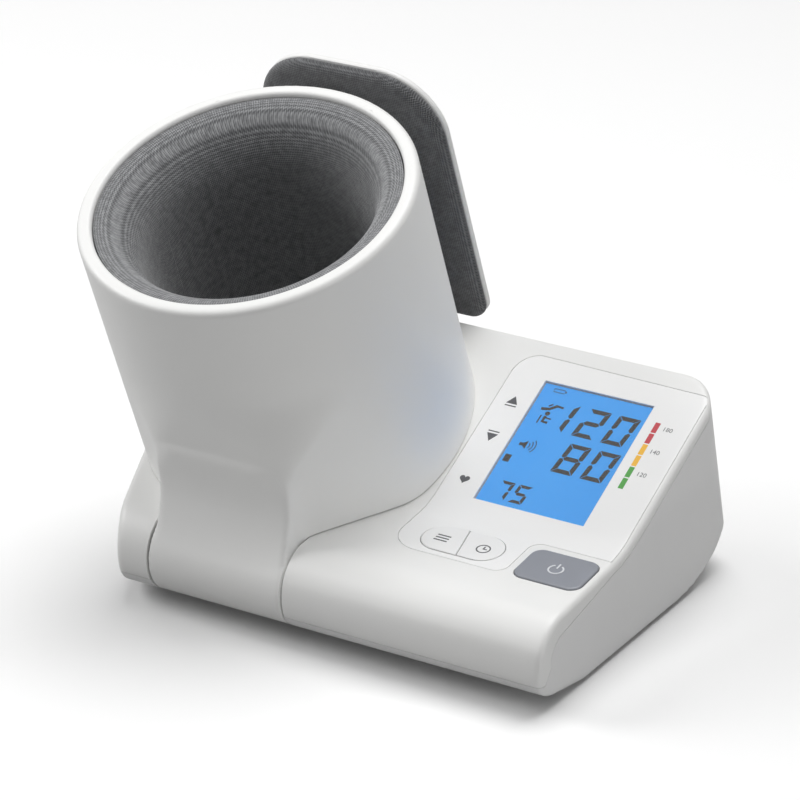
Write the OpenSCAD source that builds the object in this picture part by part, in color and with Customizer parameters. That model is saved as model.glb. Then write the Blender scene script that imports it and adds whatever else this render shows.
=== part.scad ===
// Arm-in blood pressure monitor: a base with a sloping display, an arm tube that tilts on a
// hinge in the rounded front edge, and an elbow rest that folds out behind the tube.
// Millimetres. X runs to the right, Y to the back and Z up from the table. The origin is on the
// table, under the middle of the whole monitor.

/* [Arm tube] */
// Outer radius of the arm tube
tube_r = 83; // [80:0.5:90]
// Wall of the arm tube
tube_wall = 2.6; // [2:0.1:3.5]
// Length of the tube's axis from the rim down to the display slope
tube_len = 147.7; // [140:0.5:160]
// Lean of the tube towards the user, in degrees
tube_tilt = 21.8; // [18:0.1:25]
// Width of the flat white rim
rim_w = 7.4; // [6:0.1:9]
// Thickness of the rim's lip
rim_t = 6; // [5:0.1:8]
// Rounding of the rim's outer edge
rim_round = 3; // [1:0.1:4]
// Rounding of the rim's inner edge
rim_inner_round = 2; // [1:0.1:2.5]
// Gap between the tube's foot and the base under it
foot_gap = 0.5; // [0.3:0.1:1]

/* [Cuff] */
// From the outside of the tube to the throat of the cuff
cuff_depth = 26.5; // [24:0.5:30]
// Thickness of the cuff's fabric
liner_t = 2; // [1.2:0.1:3]
// Depth of the flared fabric mouth
mouth_h = 29; // [22:0.5:34]
// Wall of the inner drum
drum_wall = 2; // [1.5:0.1:3]
// Thickness of the inflating sleeve, flat
bladder_t = 8; // [5:0.5:9]
// Clearance between the sleeve and the parts on each side of it
bladder_gap = 0.4; // [0.3:0.1:1]
// Thickness of the ring that closes the tube's lower end
end_ring_t = 2.4; // [2:0.1:3]
// Height of the ring's underside above the tube's foot
end_ring_lift = 14.2; // [13.5:0.1:16]
// Number of screws in the end ring
end_screws = 6; // [4:1:8]

/* [Knuckle] */
// Width of the tube's knuckle between the base's two ears
knuckle_w = 76; // [70:0.5:80]
// Shift of the knuckle's middle to the right of the tube's axis
knuckle_shift = 10.1; // [6:0.1:12]
// Gap between the knuckle and each ear
knuckle_gap = 1; // [0.5:0.1:2]
// Running gap around the knuckle in its pocket
pocket_gap = 0.5; // [0.3:0.1:1]
// Radius of the hollow where the knuckle runs up into the tube
neck_r = 60; // [50:1:70]
// Radius of the hinge stubs
stub_r = 6; // [5:0.1:7]
// Radius of the air hose's way through the right stub
stub_bore_r = 3.6; // [3:0.1:4]
// Radial clearance of the stubs in their bushes
stub_clear = 0.05; // [0.02:0.01:0.1]
// Wall of the bushes
bush_wall = 1.6; // [1.2:0.1:2]
// Thickness of the knuckle's end walls, which hold the bushes
knuckle_end = 9; // [7:0.5:11]

/* [Base] */
// Radius of the rounded front edge, which is centred on the tube's hinge
nose_r = 21.6; // [20:0.1:23]
// Height of the hinge axis above the bottom of the base
nose_z = 26.3; // [25:0.1:29]
// Slope of the underside's lead-in at the front, in degrees
ramp_tilt = 10; // [6:1:14]
// Slope of the platform in front of the display, in degrees
platform_tilt = 6; // [4:0.5:8]
// Slope of the display, in degrees
display_tilt = 27.06; // [24:0.1:30]
// Radius of the hollow between platform and display
crease_r = 48; // [30:1:52]
// Distance along Y from the tube's axis at its foot to the crease
crease_reach = 27.7; // [24:0.1:32]
// Lean of the back face, in degrees
back_lean = 15; // [10:0.5:18]
// Radius of the lower back edge
rear_r = 25; // [18:0.5:30]
// Radius of the upper back edge
back_edge_r = 3; // [2.7:0.1:5]
// Width of the console to the right of the tube
console_w = 108; // [100:0.5:120]
// Margin of the base around the tube's foot
foot_margin = 0.5; // [0.5:0.1:2]
// Radius of the base's right rear corner, seen along the leaning back face
corner_r = 23.5; // [20:0.5:27]
// Radius of the heel under that corner
heel_r = 30; // [24:0.5:34]
// Direction in which the heel is rounded, in degrees from the right side towards the back
heel_turn = 31; // [25:1:40]
// Distance by which the heel is drawn in from the corner
heel_in = 3; // [2:0.1:4]
// Lean of the right side's lower part, in degrees
draft = 3.3; // [2:0.1:4]
// Height up to which the right side leans
draft_h = 60; // [50:1:70]
// Wall of the two housings
wall = 2.4; // [2:0.1:2.6]
// Gap of the seam between the two housings
seam_gap = 0.2; // [0.1:0.05:0.4]
// Height of the seam along the front
seam_z = 15.4; // [13:0.1:18]
// Depth of the cover's edge on the side face
seam_d = 5.5; // [5:0.1:7]
// Depth of the cover's edge around the nose
seam_nose = 11; // [10:0.1:12]
// Height of the feet under the base
foot_h = 1.5; // [1:0.1:2.5]
// Radius of the feet
foot_pad_r = 7; // [5:0.5:9]

/* [Display] */
// Width of the screen
screen_w = 60.3; // [56:0.1:64]
// Height of the screen
screen_h = 78.5; // [74:0.1:82]
// Distance of the screen's middle from the base's right side
screen_inset = 57.15; // [54:0.1:60]
// Distance of the screen's lower edge from the end of the crease
screen_lift = 1; // [0.5:0.1:3]
// Thickness of the clear window over the screen
window_t = 1; // [0.8:0.1:1.5]
// Thickness of the liquid crystal cell
cell_t = 2; // [1.5:0.1:3]
// Thickness of the light guide behind the cell
guide_t = 3; // [2:0.1:4]
// Thickness of the circuit boards
board_t = 1.6; // [1:0.1:2]
// Width of the main board
board_w = 90; // [86:1:91]
// Height of the main board
board_h = 96; // [92:1:98]
// Depth of the main board below the cover's outer face
board_depth = 12; // [11:0.1:14]
// Clearance between parts that are fitted together
fit = 0.2; // [0.1:0.05:0.3]
// Thickness of the printed front panel
panel_t = 0.8; // [0.6:0.1:1]
// Width of the panel's margin to the left of the screen
label_w = 19.6; // [17:0.1:22]
// Distance from the screen's upper edge to the panel's upper edge
title_h = 12.8; // [11:0.1:15]
// Rounding of the panel's upper left corner
panel_top_r = 12; // [8:0.5:14]
// Rounding of the panel's lower left corner
panel_low_r = 15; // [12:0.5:16]
// Rounding of the step in the panel's lower edge
panel_step_r = 6.5; // [5:0.1:7]
// Margin of the film inside the base's edges
panel_margin = 1.4; // [1:0.1:2]

/* [Keys] */
// Width of the start key
start_w = 35.5; // [30:0.5:36]
// Depth of the start key, front to back
start_d = 26.4; // [22:0.1:27]
// Rounding of the start key
start_r = 6; // [4:0.1:8]
// Height of the start key above the cover
start_proud = 0.9; // [0.4:0.1:1.5]
// Distance of the start key's middle from the base's right side
start_inset = 21.8; // [21.4:0.1:24]
// Distance of the start key's middle in front of the crease
start_back = 26.3; // [25:0.1:28]
// Width of the pair of small keys
pair_w = 43; // [40:0.5:44]
// Depth of the pair of small keys, front to back
pair_d = 22; // [20:0.1:23]
// Distance of the pair's middle to the left of the screen's middle
pair_shift = 16.3; // [15:0.1:18]
// Distance of the pair's middle in front of the crease
pair_back = 24.5; // [23:0.1:26]
// Slant of the line that divides the pair, in degrees
pair_slant = 12.5; // [0:0.5:20]
// Height of the small keys above the panel
pair_proud = 0.3; // [0.1:0.1:0.8]
// Travel of every key
key_travel = 0.8; // [0.5:0.1:1]
// Running gap around a key
key_gap = 0.3; // [0.2:0.05:0.5]
// Width of a key's flange under the cover
key_flange = 1.6; // [1:0.1:2]
// Thickness of a key's flange
key_flange_t = 1.2; // [1:0.1:1.5]
// Radius of a rubber dome under a key
dome_r = 3.5; // [3:0.1:4.5]
// Height of a rubber dome
dome_h = 1.8; // [1.5:0.1:2.5]
// Thickness of the rubber key mat
mat_t = 1; // [0.8:0.1:1.5]

/* [Elbow rest] */
// Width of the elbow rest
rest_w = 104; // [98:1:112]
// Length of the elbow rest
rest_l = 151.8; // [145:0.5:155]
// Thickness of the cushion
cushion_t = 7; // [6.5:0.1:9]
// Thickness of the elbow rest's shell
rest_shell_t = 4; // [3.5:0.1:5]
// Rounding of the elbow rest's upper corners
rest_top_r = 34; // [28:0.5:38]
// Rounding of its lower corners
rest_low_r = 9; // [6:0.5:12]
// Gap between the tube and the cushion
rest_gap = 4; // [3:0.1:6]
// Distance that the cushion's lower edge lies below the base's back edge, along the tube
rest_drop = 5.8; // [4:0.1:8]
// Distance from the hinge axis up to the elbow rest's lower edge
rest_hinge_drop = 6.5; // [6.3:0.1:8]
// Distance from the cushion's face back to the hinge axis
rest_hinge_back = 3; // [2.5:0.1:6]
// Radius of the hinge pin
rest_pin_r = 2; // [1.5:0.1:2.5]
// Radial clearance of the pin in the rest's knuckle
rest_pin_clear = 0.05; // [0.02:0.01:0.1]
// Radius of the hinge's knuckle and lugs
rest_lug_r = 5.2; // [4.5:0.1:5.5]
// Width of the rest's knuckle
rest_knuckle_w = 44; // [36:1:50]
// Width of each lug on the base
rest_lug_w = 9; // [7:0.5:12]
// Side gap between knuckle and lugs
rest_side_gap = 0.4; // [0.3:0.1:0.8]

/* [Batteries] */
// Number of cells
cells = 4; // [3:1:4]
// Radius of a cell
cell_r = 7.15; // [7:0.05:7.25]
// Length of a cell with its nub
cell_l = 50.2; // [49:0.1:50.5]
// Spacing of the cells
cell_pitch = 15; // [14.8:0.1:16]
// Distance of the battery box's middle from the base's right side
box_inset = 57; // [52:0.5:64]
// Distance of the battery box's middle behind the tube's axis at its foot
box_back = 12; // [4:0.5:20]
// Wall of the battery box
box_wall = 1.6; // [1.2:0.1:2]
// Room for the contacts at each end of a cell
contact_room = 4; // [3:0.1:5]
// Gap around the battery door
door_gap = 0.3; // [0.2:0.05:0.5]

/* [Pump and air line] */
// Radius of the pump's motor
motor_r = 12; // [10:0.1:13.5]
// Length of the motor
motor_l = 31; // [28:0.5:36]
// Side of the pump's square head
head_s = 27; // [25:0.5:30]
// Length of the pump's head
head_l = 27; // [24:0.5:30]
// Outer radius of the air hose
hose_r = 3.4; // [3:0.1:3.5]
// Outer radius of the spigots that the hoses are pushed on
spigot_r = 2; // [1.6:0.1:2.2]
// Side of the release valve
valve_s = 14; // [12:0.5:16]
// Length of the release valve
valve_l = 22; // [20:0.5:26]
// Side of the air block that joins the hoses
tee_s = 12; // [10:0.5:14]
// Radius of the loudspeaker
speaker_r = 14; // [12:0.5:16]
// Height of the loudspeaker
speaker_h = 5; // [4:0.1:6]

/* [Screws and small parts] */
// Radius of the housing screws
screw_r = 1.5; // [1.2:0.1:1.8]
// Length of the housing screws
screw_l = 24; // [20:0.5:30]
// Radius of a screw's head
head_r = 2.8; // [2.4:0.1:3.2]
// Height of a screw's head
head_t = 1.8; // [1.5:0.1:2.2]
// Radius of a screw boss
boss_r = 4.2; // [3.6:0.1:5]
// Height at which the two halves of a boss meet
boss_z = 22; // [18:0.5:26]
// Width of the hinge brackets
bracket_w = 9; // [8:0.5:10]
// Length of the power socket
socket_l = 12; // [10:0.5:14]
// Side of the power socket's body
socket_s = 9; // [8:0.1:11]
// Radius of the power socket's opening
socket_r = 3; // [2.7:0.1:3.2]

/* [Hidden] */

white = "#f4f4f4";
pale = "#e6e6e8";
dark = "#3c3d40";
steel = "#b9bdc2";
big = 400;
fine = 96;

// ---- plane geometry ----
function unit(v) = v / norm(v);
function left_of(a, b) = let (d = unit(b - a)) [-d[1], d[0]];
function arc(c, r, a0, a1, n) =
    [for (i = [0 : n]) let (a = a0 + (a1 - a0) * i / n) c + r * [cos(a), sin(a)]];
function oval(c, rx, ry, a0, a1, n) =
    [for (i = [0 : n]) let (a = a0 + (a1 - a0) * i / n) c + [rx * cos(a), ry * sin(a)]];
// The outline p, counter-clockwise, moved inwards by d
function inset(p, d) = [for (i = [0 : len(p) - 1])
    let (a = p[(i + len(p) - 1) % len(p)], b = p[i], c = p[(i + 1) % len(p)],
        n1 = left_of(a, b), n2 = left_of(b, c)) b + d * (n1 + n2) / (1 + n1 * n2)];

// ---- side view of the base: Y and Z, from the bottom of the base ----
slope = [cos(display_tilt), sin(display_tilt)];
slope_up = [-sin(display_tilt), cos(display_tilt)];
flat = [cos(platform_tilt), sin(platform_tilt)];
flat_up = [-sin(platform_tilt), cos(platform_tilt)];
// Places along Y are first taken from the tube's foot, then shifted so that the monitor is centred
crease_z = nose_z + nose_r / cos(platform_tilt) + (tube_r - crease_reach) * tan(platform_tilt);
foot_z = crease_z + crease_reach * tan(display_tilt);
edge_reach = tube_r * cos(display_tilt);
edge_z = foot_z + tube_r * sin(display_tilt);
rear_reach = edge_reach + (edge_z - rear_r * (1 + sin(back_lean))) * tan(back_lean)
    + rear_r * (1 - cos(back_lean));
rim_front = tube_len * sin(tube_tilt) + (tube_r - rim_round) * cos(tube_tilt)
    - rim_round * sin(tube_tilt) + rim_round;
foot_y = (rim_front - rear_reach) / 2;
nose_y = foot_y - tube_r;
front_y = nose_y - nose_r;
rear_y = foot_y + rear_reach;
crease_y = foot_y - crease_reach;
nose = [nose_y, nose_z];
crease = [crease_y, crease_z];
back_edge = [foot_y + edge_reach, edge_z];
crease_t = crease_r * tan((display_tilt - platform_tilt) / 2);
crease_c = crease - flat * crease_t + flat_up * crease_r;
rear_c = [rear_y - rear_r, rear_r];
edge_turn = (90 + display_tilt - back_lean) / 2;
edge_c = back_edge - slope * back_edge_r * tan(edge_turn) - slope_up * back_edge_r;
ramp_foot = nose + nose_r * [cos(-90 - ramp_tilt), sin(-90 - ramp_tilt)]
    + [1, -tan(ramp_tilt)] * (nose_z - nose_r * cos(ramp_tilt)) / tan(ramp_tilt);
profile = concat([ramp_foot], arc(rear_c, rear_r, -90, back_lean, 14),
    arc(edge_c, back_edge_r, back_lean, 90 + display_tilt, 5),
    arc(crease_c, crease_r, 270 + display_tilt, 270 + platform_tilt, 7),
    arc(nose, nose_r, 90 + platform_tilt, 270 - ramp_tilt, 26));
function slope_z(y) = crease_z + (y - crease_y) * tan(display_tilt);

// ---- seen from above ----
base_w = 2 * (tube_r + foot_margin) + console_w;
left_x = -base_w / 2;
right_x = base_w / 2;
tube_x = left_x + tube_r + foot_margin;
foot_r = tube_r + foot_margin;
flare_x = tube_x - 46;
flare_from = [flare_x - tube_x, front_y - foot_y];
flare_a = atan2(flare_from[1], flare_from[0]) - acos(foot_r / norm(flare_from));
plan = concat([[flare_x, front_y - 1], [right_x + 5, front_y - 1], [right_x + 5, rear_y]],
    oval([tube_x, foot_y], foot_r, rear_y - foot_y, 90, 180, 14),
    arc([tube_x, foot_y], foot_r, 185, 360 + flare_a, 4));
// The right rear corner, drawn square to the leaning back face, and left open behind it
corner_c = [right_x - corner_r, back_edge[0] * cos(back_lean) + back_edge[1] * sin(back_lean) - corner_r];
corner_end = corner_c + corner_r * [cos(84), sin(84)];
corner_plan = concat([[left_x - 3, front_y - 60], [right_x, front_y - 60]], arc(corner_c, corner_r, 0, 84, 13),
    [corner_end + 12 * [-cos(6), sin(6)], [left_x - 3, corner_end[1] + 12 * sin(6)]]);
// The heel, seen along the base's right rear corner: distance towards the corner, and height
heel_way = [cos(heel_turn), sin(heel_turn)];
heel_reach = corner_c[0] * heel_way[0] + corner_c[1] / cos(back_lean) * heel_way[1]
    + corner_r * norm([heel_way[0], heel_way[1] / cos(back_lean)]) - heel_in;
heel_c = [heel_reach - heel_r, heel_r];
heel_start = heel_c + heel_r * [sin(6), -cos(6)];
heel_view = concat([[-big, -big * tan(6)], heel_start - 20 * [cos(6), sin(6)]], arc(heel_c, heel_r, -84, 0, 14),
    [[heel_reach + 40, big / 2], [-big, big / 2]]);
function heel_z(p) = let (d = p * heel_way - heel_c[0]) d > 0 ? heel_r - sqrt(max(0, heel_r * heel_r - d * d)) : 0;
function under_z(p) = max(0, (ramp_foot[0] - p[1]) * tan(ramp_tilt), heel_z(p + head_r * heel_way));
front_view = [[left_x - 1, 0], [right_x - draft_h * tan(draft), 0], [right_x, draft_h],
    [right_x, big / 2], [left_x - 1, big / 2]];

// ---- knuckle and hinge ----
knuckle_x = [tube_x + knuckle_shift - knuckle_w / 2, tube_x + knuckle_shift + knuckle_w / 2];
pocket_x = [knuckle_x[0] - knuckle_gap, knuckle_x[1] + knuckle_gap];
pocket_r = nose_r + pocket_gap;
pocket_back = nose_y + 8;
bush_r = stub_r + stub_clear + bush_wall;
washer_t = 1.2;
bracket_x = [pocket_x[0] - wall - washer_t - bracket_w, pocket_x[1] + wall + washer_t];

// ---- the tube's own frame: origin in the middle of the rim, z up along the tube's axis ----
rim_y = foot_y - tube_len * sin(tube_tilt);
rim_z = foot_z + tube_len * cos(tube_tilt);
function to_tube(p) = [(p[0] - rim_y) * cos(tube_tilt) + (p[1] - rim_z) * sin(tube_tilt),
    -(p[0] - rim_y) * sin(tube_tilt) + (p[1] - rim_z) * cos(tube_tilt)];
nose_t = to_tube(nose);
rim_in = tube_r - rim_w;
bore_r = tube_r - tube_wall;
apron = tube_r + 1.5;
neck_c = [-apron - neck_r, nose_t[1] + sqrt(pow(neck_r + nose_r, 2)
    - pow(-apron - neck_r - nose_t[0], 2))];
neck_a = atan2(neck_c[1] - nose_t[1], neck_c[0] - nose_t[0]);
ring_z = -tube_len + end_ring_lift;
throat_r = tube_r - cuff_depth;
drum_in = throat_r + liner_t + bladder_t + 2 * bladder_gap;
drum_out = drum_in + drum_wall;
mouth_z = -rim_t - 0.3;

// ---- elbow rest, also in the tube's frame ----
back_t = to_tube(back_edge);
rest_y = tube_r + rest_gap;
rest_z = back_t[1] - rest_drop;
rest_axis = [rest_y + rest_hinge_back, rest_z - rest_hinge_drop];
rest_axis_y = rim_y + rest_axis[0] * cos(tube_tilt) - rest_axis[1] * sin(tube_tilt);
rest_axis_z = rim_z + rest_axis[0] * sin(tube_tilt) + rest_axis[1] * cos(tube_tilt);

// ---- display and keys ----
screen_x = right_x - screen_inset;
screen_v = crease_t + screen_lift + screen_h / 2;
cell_depth = window_t + 0.1;
guide_depth = cell_depth + cell_t + 0.1;
start_x = right_x - start_inset;
pair_x = screen_x - pair_shift;
panel_left = screen_x - screen_w / 2 - label_w;
panel_right = right_x - 2.6;
panel_top = crease_y + (screen_v + screen_h / 2 + title_h) * slope[0];
panel_low = crease_y - (pair_back + pair_d / 2 + 3.7) * flat[0];
panel_mid = crease_y - 8.3;
step_x = (pair_x + pair_w / 2 + start_x - start_w / 2) / 2 + 2;
mat_depth = wall + key_flange_t + key_travel + 0.1 + dome_h;

// ---- battery box ----
box_x = right_x - box_inset;
box_y = foot_y + box_back;
box_w = cells * cell_pitch + 1;
box_d = cell_l + 2 * contact_room;
cell_z = wall + 0.5 + cell_r;
box_h = cell_z + cell_r + 0.5;
hole_w = box_w - 0.4;
hole_d = box_d - 2;
door_t = wall - 0.2;
door_edge_r = 1.5;
door_peg_r = 0.85;
door_y = box_y - hole_d / 2 + door_edge_r + door_gap;

// ---- pump, valve and hoses ----
pump_y = foot_y + 14;
pump_x = tube_x - 2;
pump_z = wall + 2 + head_s / 2;
tee_x = tube_x + 52;
tee_y = foot_y - 34;
tee_z = wall + 10;
tee_reach = tee_s / 2 + 5;
valve_x = tee_x - tee_reach - 27;
valve_y = tee_y;
spigot_l = 6;
hose_bend = 8;
speaker_x = tube_x + 74;
speaker_y = foot_y + 42;

// ---- screws and feet ----
screw_at = [[tube_x - 58, foot_y + 26], [tube_x - 38, foot_y + 68], [tube_x + 62, foot_y + 70],
    [right_x - 19, foot_y + 70], [right_x - 12, nose_y + 4], [tube_x + 68, nose_y + 14]];
feet_at = [[tube_x - 62, foot_y - 14], [tube_x - 34, foot_y + 54], [right_x - 26, foot_y + 48],
    [right_x - 18, ramp_foot[0] + foot_pad_r + 2], [tube_x + 40, ramp_foot[0] + foot_pad_r + 2]];

// ---- helpers ----
module on_feet() translate([0, 0, foot_h]) children();
// A side view, stretched from x0 to x1
module across(p, x0, x1) translate([x0, 0, 0]) rotate([90, 0, 90]) linear_extrude(x1 - x0) polygon(p);
module upright(p, z0, z1) translate([0, 0, z0]) linear_extrude(z1 - z0) polygon(p);
module rod_x(r, x0, x1, y, z) translate([x0, y, z]) rotate([0, 90, 0]) cylinder(r = r, h = x1 - x0, $fn = 64);
module slab(x0, x1, y0, y1, z0, z1) translate([x0, y0, z0]) cube([x1 - x0, y1 - y0, z1 - z0]);
module on_slope() translate([screen_x, crease_y + screen_v * slope[0], crease_z + screen_v * slope[1]])
    rotate([display_tilt, 0, 0]) children();
module on_platform(x, back) translate([x, crease_y - back * flat[0], crease_z - back * flat[1]])
    rotate([platform_tilt, 0, 0]) children();
module in_tube() translate([tube_x, rim_y, rim_z]) rotate([tube_tilt, 0, 0]) children();
module at_screws() for (p = screw_at) translate([p[0], p[1], under_z(p)]) children();
module at_feet() for (p = feet_at) translate([p[0], p[1], 0]) children();
module box_at(w, d, h) translate([-w / 2, -d / 2, 0]) cube([w, d, h]);
module rounded(w, d, r) {
    square([w - 2 * r, d], center = true);
    square([w, d - 2 * r], center = true);
    for (x = [-1, 1], y = [-1, 1]) translate([x * (w / 2 - r), y * (d / 2 - r)]) circle(r = r, $fn = 32);
}
// A tube of radius r along the points p
function along(p, i) = i == 0 ? unit(p[1] - p[0]) : i == len(p) - 1 ? unit(p[i] - p[i - 1])
    : unit(unit(p[i] - p[i - 1]) + unit(p[i + 1] - p[i]));
function across_of(t) = unit(cross(t, abs(t[2]) > 0.8 ? [1, 0, 0] : [0, 0, 1]));
module hose(p, r, sides = 12) {
    rings = [for (i = [0 : len(p) - 1]) let (t = along(p, i), u = across_of(t), v = cross(t, u))
        for (k = [0 : sides - 1]) p[i] + r * (cos(360 * k / sides) * u + sin(360 * k / sides) * v)];
    last = (len(p) - 1) * sides;
    faces = concat([[for (k = [0 : sides - 1]) k]], [[for (k = [0 : sides - 1]) last + sides - 1 - k]],
        [for (i = [0 : len(p) - 2], k = [0 : sides - 1]) let (n = (k + 1) % sides)
            [i * sides + n, i * sides + k, i * sides + k + sides, i * sides + n + sides]]);
    polyhedron(rings, faces, convexity = 8);
}
// The points p with each corner rounded over the length a
function route(p, a, n = 5) = concat([p[0]], [for (i = [1 : len(p) - 2])
    let (s = p[i] - a * unit(p[i] - p[i - 1]), e = p[i] + a * unit(p[i + 1] - p[i]))
    for (k = [0 : n]) let (t = k / n) (1 - t) * (1 - t) * s + 2 * t * (1 - t) * p[i] + t * t * e],
    [p[len(p) - 1]]);

// ---- base ----
module corner_column(d) rotate([back_lean, 0, 0]) upright(inset(corner_plan, d), -60, big / 2);
module base_block(d) intersection() {
    across(inset(profile, d), left_x - 2, right_x + 2);
    upright(inset(plan, d), -1, big / 2);
    corner_column(d);
    rotate(heel_turn) translate([0, big, 0]) rotate([90, 0, 0]) linear_extrude(2 * big) polygon(inset(heel_view, d));
    translate([0, big / 2, 0]) rotate([90, 0, 0]) linear_extrude(big) polygon(inset(front_view, d));
}
seam_back_z = slope_z(back_edge[0] - 8) - seam_d / slope[0];
seam = concat([[rear_y + 20, seam_back_z], [back_edge[0] - 8, seam_back_z]],
    arc(crease_c, crease_r + seam_d, 270 + display_tilt, 270 + platform_tilt, 6),
    arc(nose, nose_r - seam_nose, 90 + platform_tilt, 200, 8),
    [[front_y + 7, seam_z], [front_y - 20, seam_z]]);
module above_seam() across(concat(seam, [[front_y - 20, big / 2], [rear_y + 20, big / 2]]),
    left_x - 2, right_x + 2);
module below_seam() across(concat([for (p = seam) p + [seam_gap, -seam_gap]],
    [[front_y - 20 + seam_gap, -20], [rear_y + 20 + seam_gap, -20]]), left_x - 2, right_x + 2);
module pocket(r, x0, x1, back) {
    rod_x(r, x0, x1, nose_y, nose_z);
    slab(x0, x1, front_y - 5, back, nose_z, big / 2);
}
module pocket_walls() pocket(pocket_r + wall, pocket_x[0] - wall, pocket_x[1] + wall, pocket_back + wall);
module base_shell() difference() {
    base_block(0);
    difference() {
        base_block(wall);
        pocket_walls();
    }
    pocket(pocket_r, pocket_x[0], pocket_x[1], pocket_back);
}
module panel_outline(d) {
    step = panel_step_r;
    polygon(inset(concat([[panel_right, panel_mid], [panel_right, panel_top]],
        arc([panel_left + panel_top_r, panel_top - panel_top_r * slope[0]], panel_top_r, 90, 180, 6),
        arc([panel_left + panel_low_r, panel_low + panel_low_r], panel_low_r, 180, 270, 7),
        arc([step_x - step, panel_low + step], step, 270, 360, 5),
        arc([step_x + step, panel_mid - step], step, 180, 90, 5)), d));
}
module panel_body(d, t) intersection() {
    difference() {
        across(inset(profile, 0), panel_left - 5, right_x + 2);
        across(inset(profile, t), panel_left - 5, right_x + 3);
    }
    translate([0, 0, nose_z]) linear_extrude(big / 2) panel_outline(d);
    upright(inset(plan, panel_margin + d), -1, big / 2);
    corner_column(panel_margin + d);
}
module screen_hole(d, z0, z1) on_slope()
    slab(-screen_w / 2 - d, screen_w / 2 + d, -screen_h / 2 - d, screen_h / 2 + d, z0, z1);
module start_outline(d) rounded(start_w + 2 * d, start_d + 2 * d, start_r + d);
module pair_outline(d) rounded(pair_w + 2 * d, pair_d + 2 * d, pair_d / 2 + d - 0.01);
module key_holes() {
    on_platform(start_x, start_back) translate([0, 0, -8]) linear_extrude(16) start_outline(key_gap);
    on_platform(pair_x, pair_back) translate([0, 0, -8]) linear_extrude(16) pair_outline(key_gap);
}
post_x = board_w / 2 - 5;
post_y = board_h / 2 - 5;
module at_posts() for (x = [-post_x, post_x], y = [-post_y, post_y]) translate([x, y, 0]) children();
key_board_x0 = pair_x - pair_w / 2 + 1;
key_board_x1 = start_x + start_w / 2 - 5;
key_post_v = 15.5;
module at_key_posts() for (x = [pair_x - 18, step_x, start_x + 8])
    translate([x - pair_x, key_post_v, 0]) children();

module upper_cover() color(white) on_feet() difference() {
    union() {
        intersection() {
            base_shell();
            above_seam();
        }
        intersection() {
            union() {
                at_screws() translate([0, 0, boss_z + fit]) cylinder(r = boss_r, h = big / 2, $fn = 32);
                on_slope() at_posts()
                    translate([0, 0, -board_depth + fit]) cylinder(r = 3.2, h = board_depth, $fn = 32);
                on_platform(pair_x, pair_back) at_key_posts()
                    translate([0, 0, -mat_depth + 0.05]) cylinder(r = 2.2, h = mat_depth, $fn = 32);
            }
            base_block(wall / 2);
        }
    }
    at_screws() cylinder(r = screw_r, h = screw_l + wall + 1, $fn = 32);
    on_slope() at_posts() translate([0, 0, -board_depth - 1]) cylinder(r = 1.2, h = 8, $fn = 32);
    panel_body(-fit, panel_t + 0.05);
    screen_hole(fit, -12, 5);
    key_holes();
}

socket_z = 42;
socket_x = right_x - 60;
socket_y = rear_c[0] + rear_r * cos(back_lean) - (socket_z - rear_r * (1 + sin(back_lean))) * tan(back_lean);
module at_lugs() for (s = [-1, 1])
    translate([tube_x + s * (rest_knuckle_w / 2 + rest_side_gap + rest_lug_w / 2), 0, 0]) children();
module rest_lugs() at_lugs() difference() {
    union() {
        rod_x(rest_lug_r, -rest_lug_w / 2, rest_lug_w / 2, rest_axis_y, rest_axis_z);
        across([[rest_axis_y - rest_lug_r * 0.6, rest_axis_z + rest_lug_r * 0.8],
            [back_edge[0] + 4, seam_back_z - 1],
            [back_edge[0] - 1.5, seam_back_z - 1], [back_edge[0] - 1.5, rest_axis_z - 24],
            [rest_axis_y + 2, rest_axis_z - 18], [rest_axis_y + rest_lug_r, rest_axis_z]],
            -rest_lug_w / 2, rest_lug_w / 2);
    }
    rod_x(rest_pin_r, -rest_lug_w, rest_lug_w, rest_axis_y, rest_axis_z);
}
module lower_housing() color(pale) on_feet() difference() {
    union() {
        intersection() {
            base_shell();
            below_seam();
        }
        intersection() {
            union() {
                at_screws() cylinder(r = boss_r, h = boss_z, $fn = 32);
                translate([box_x, box_y, 0]) box_at(box_w + 4, box_d + 4, wall + 1.2);
                slab(socket_x - socket_s / 2 - 1.5, socket_x + socket_s / 2 + 1.5,
                    socket_y - socket_l - 2, rear_y, socket_z - socket_s / 2 - 1.6, socket_z - socket_s / 2 - fit);
            }
            base_block(0.3);
        }
        rest_lugs();
    }
    at_screws() translate([0, 0, -1]) cylinder(r = screw_r + 0.3, h = boss_z + 2, $fn = 32);
    at_screws() translate([0, 0, -1]) cylinder(r = head_r + 0.3, h = head_t + 1.3, $fn = 32);
    translate([box_x, box_y, -1]) box_at(hole_w, hole_d, wall + 4);
    rod_x(door_peg_r + 0.05, box_x - hole_w / 2 - 1.8, box_x + hole_w / 2 + 1.8, door_y, door_edge_r);
    rod_x(stub_r, pocket_x[0] - wall - 1, pocket_x[1] + wall + 1, nose_y, nose_z);
    translate([socket_x, socket_y - 8, socket_z])
        rotate([-90, 0, 0]) cylinder(r = socket_r + 1.4, h = 30, $fn = 32);
    at_feet() translate([0, 0, -1]) cylinder(r = foot_pad_r + fit, h = 1.8, $fn = 48);
    translate([speaker_x, speaker_y, 0]) for (i = [-2 : 2])
        translate([i * 4, 0, -1]) box_at(1.6, 16, wall + 3);
}

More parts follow.
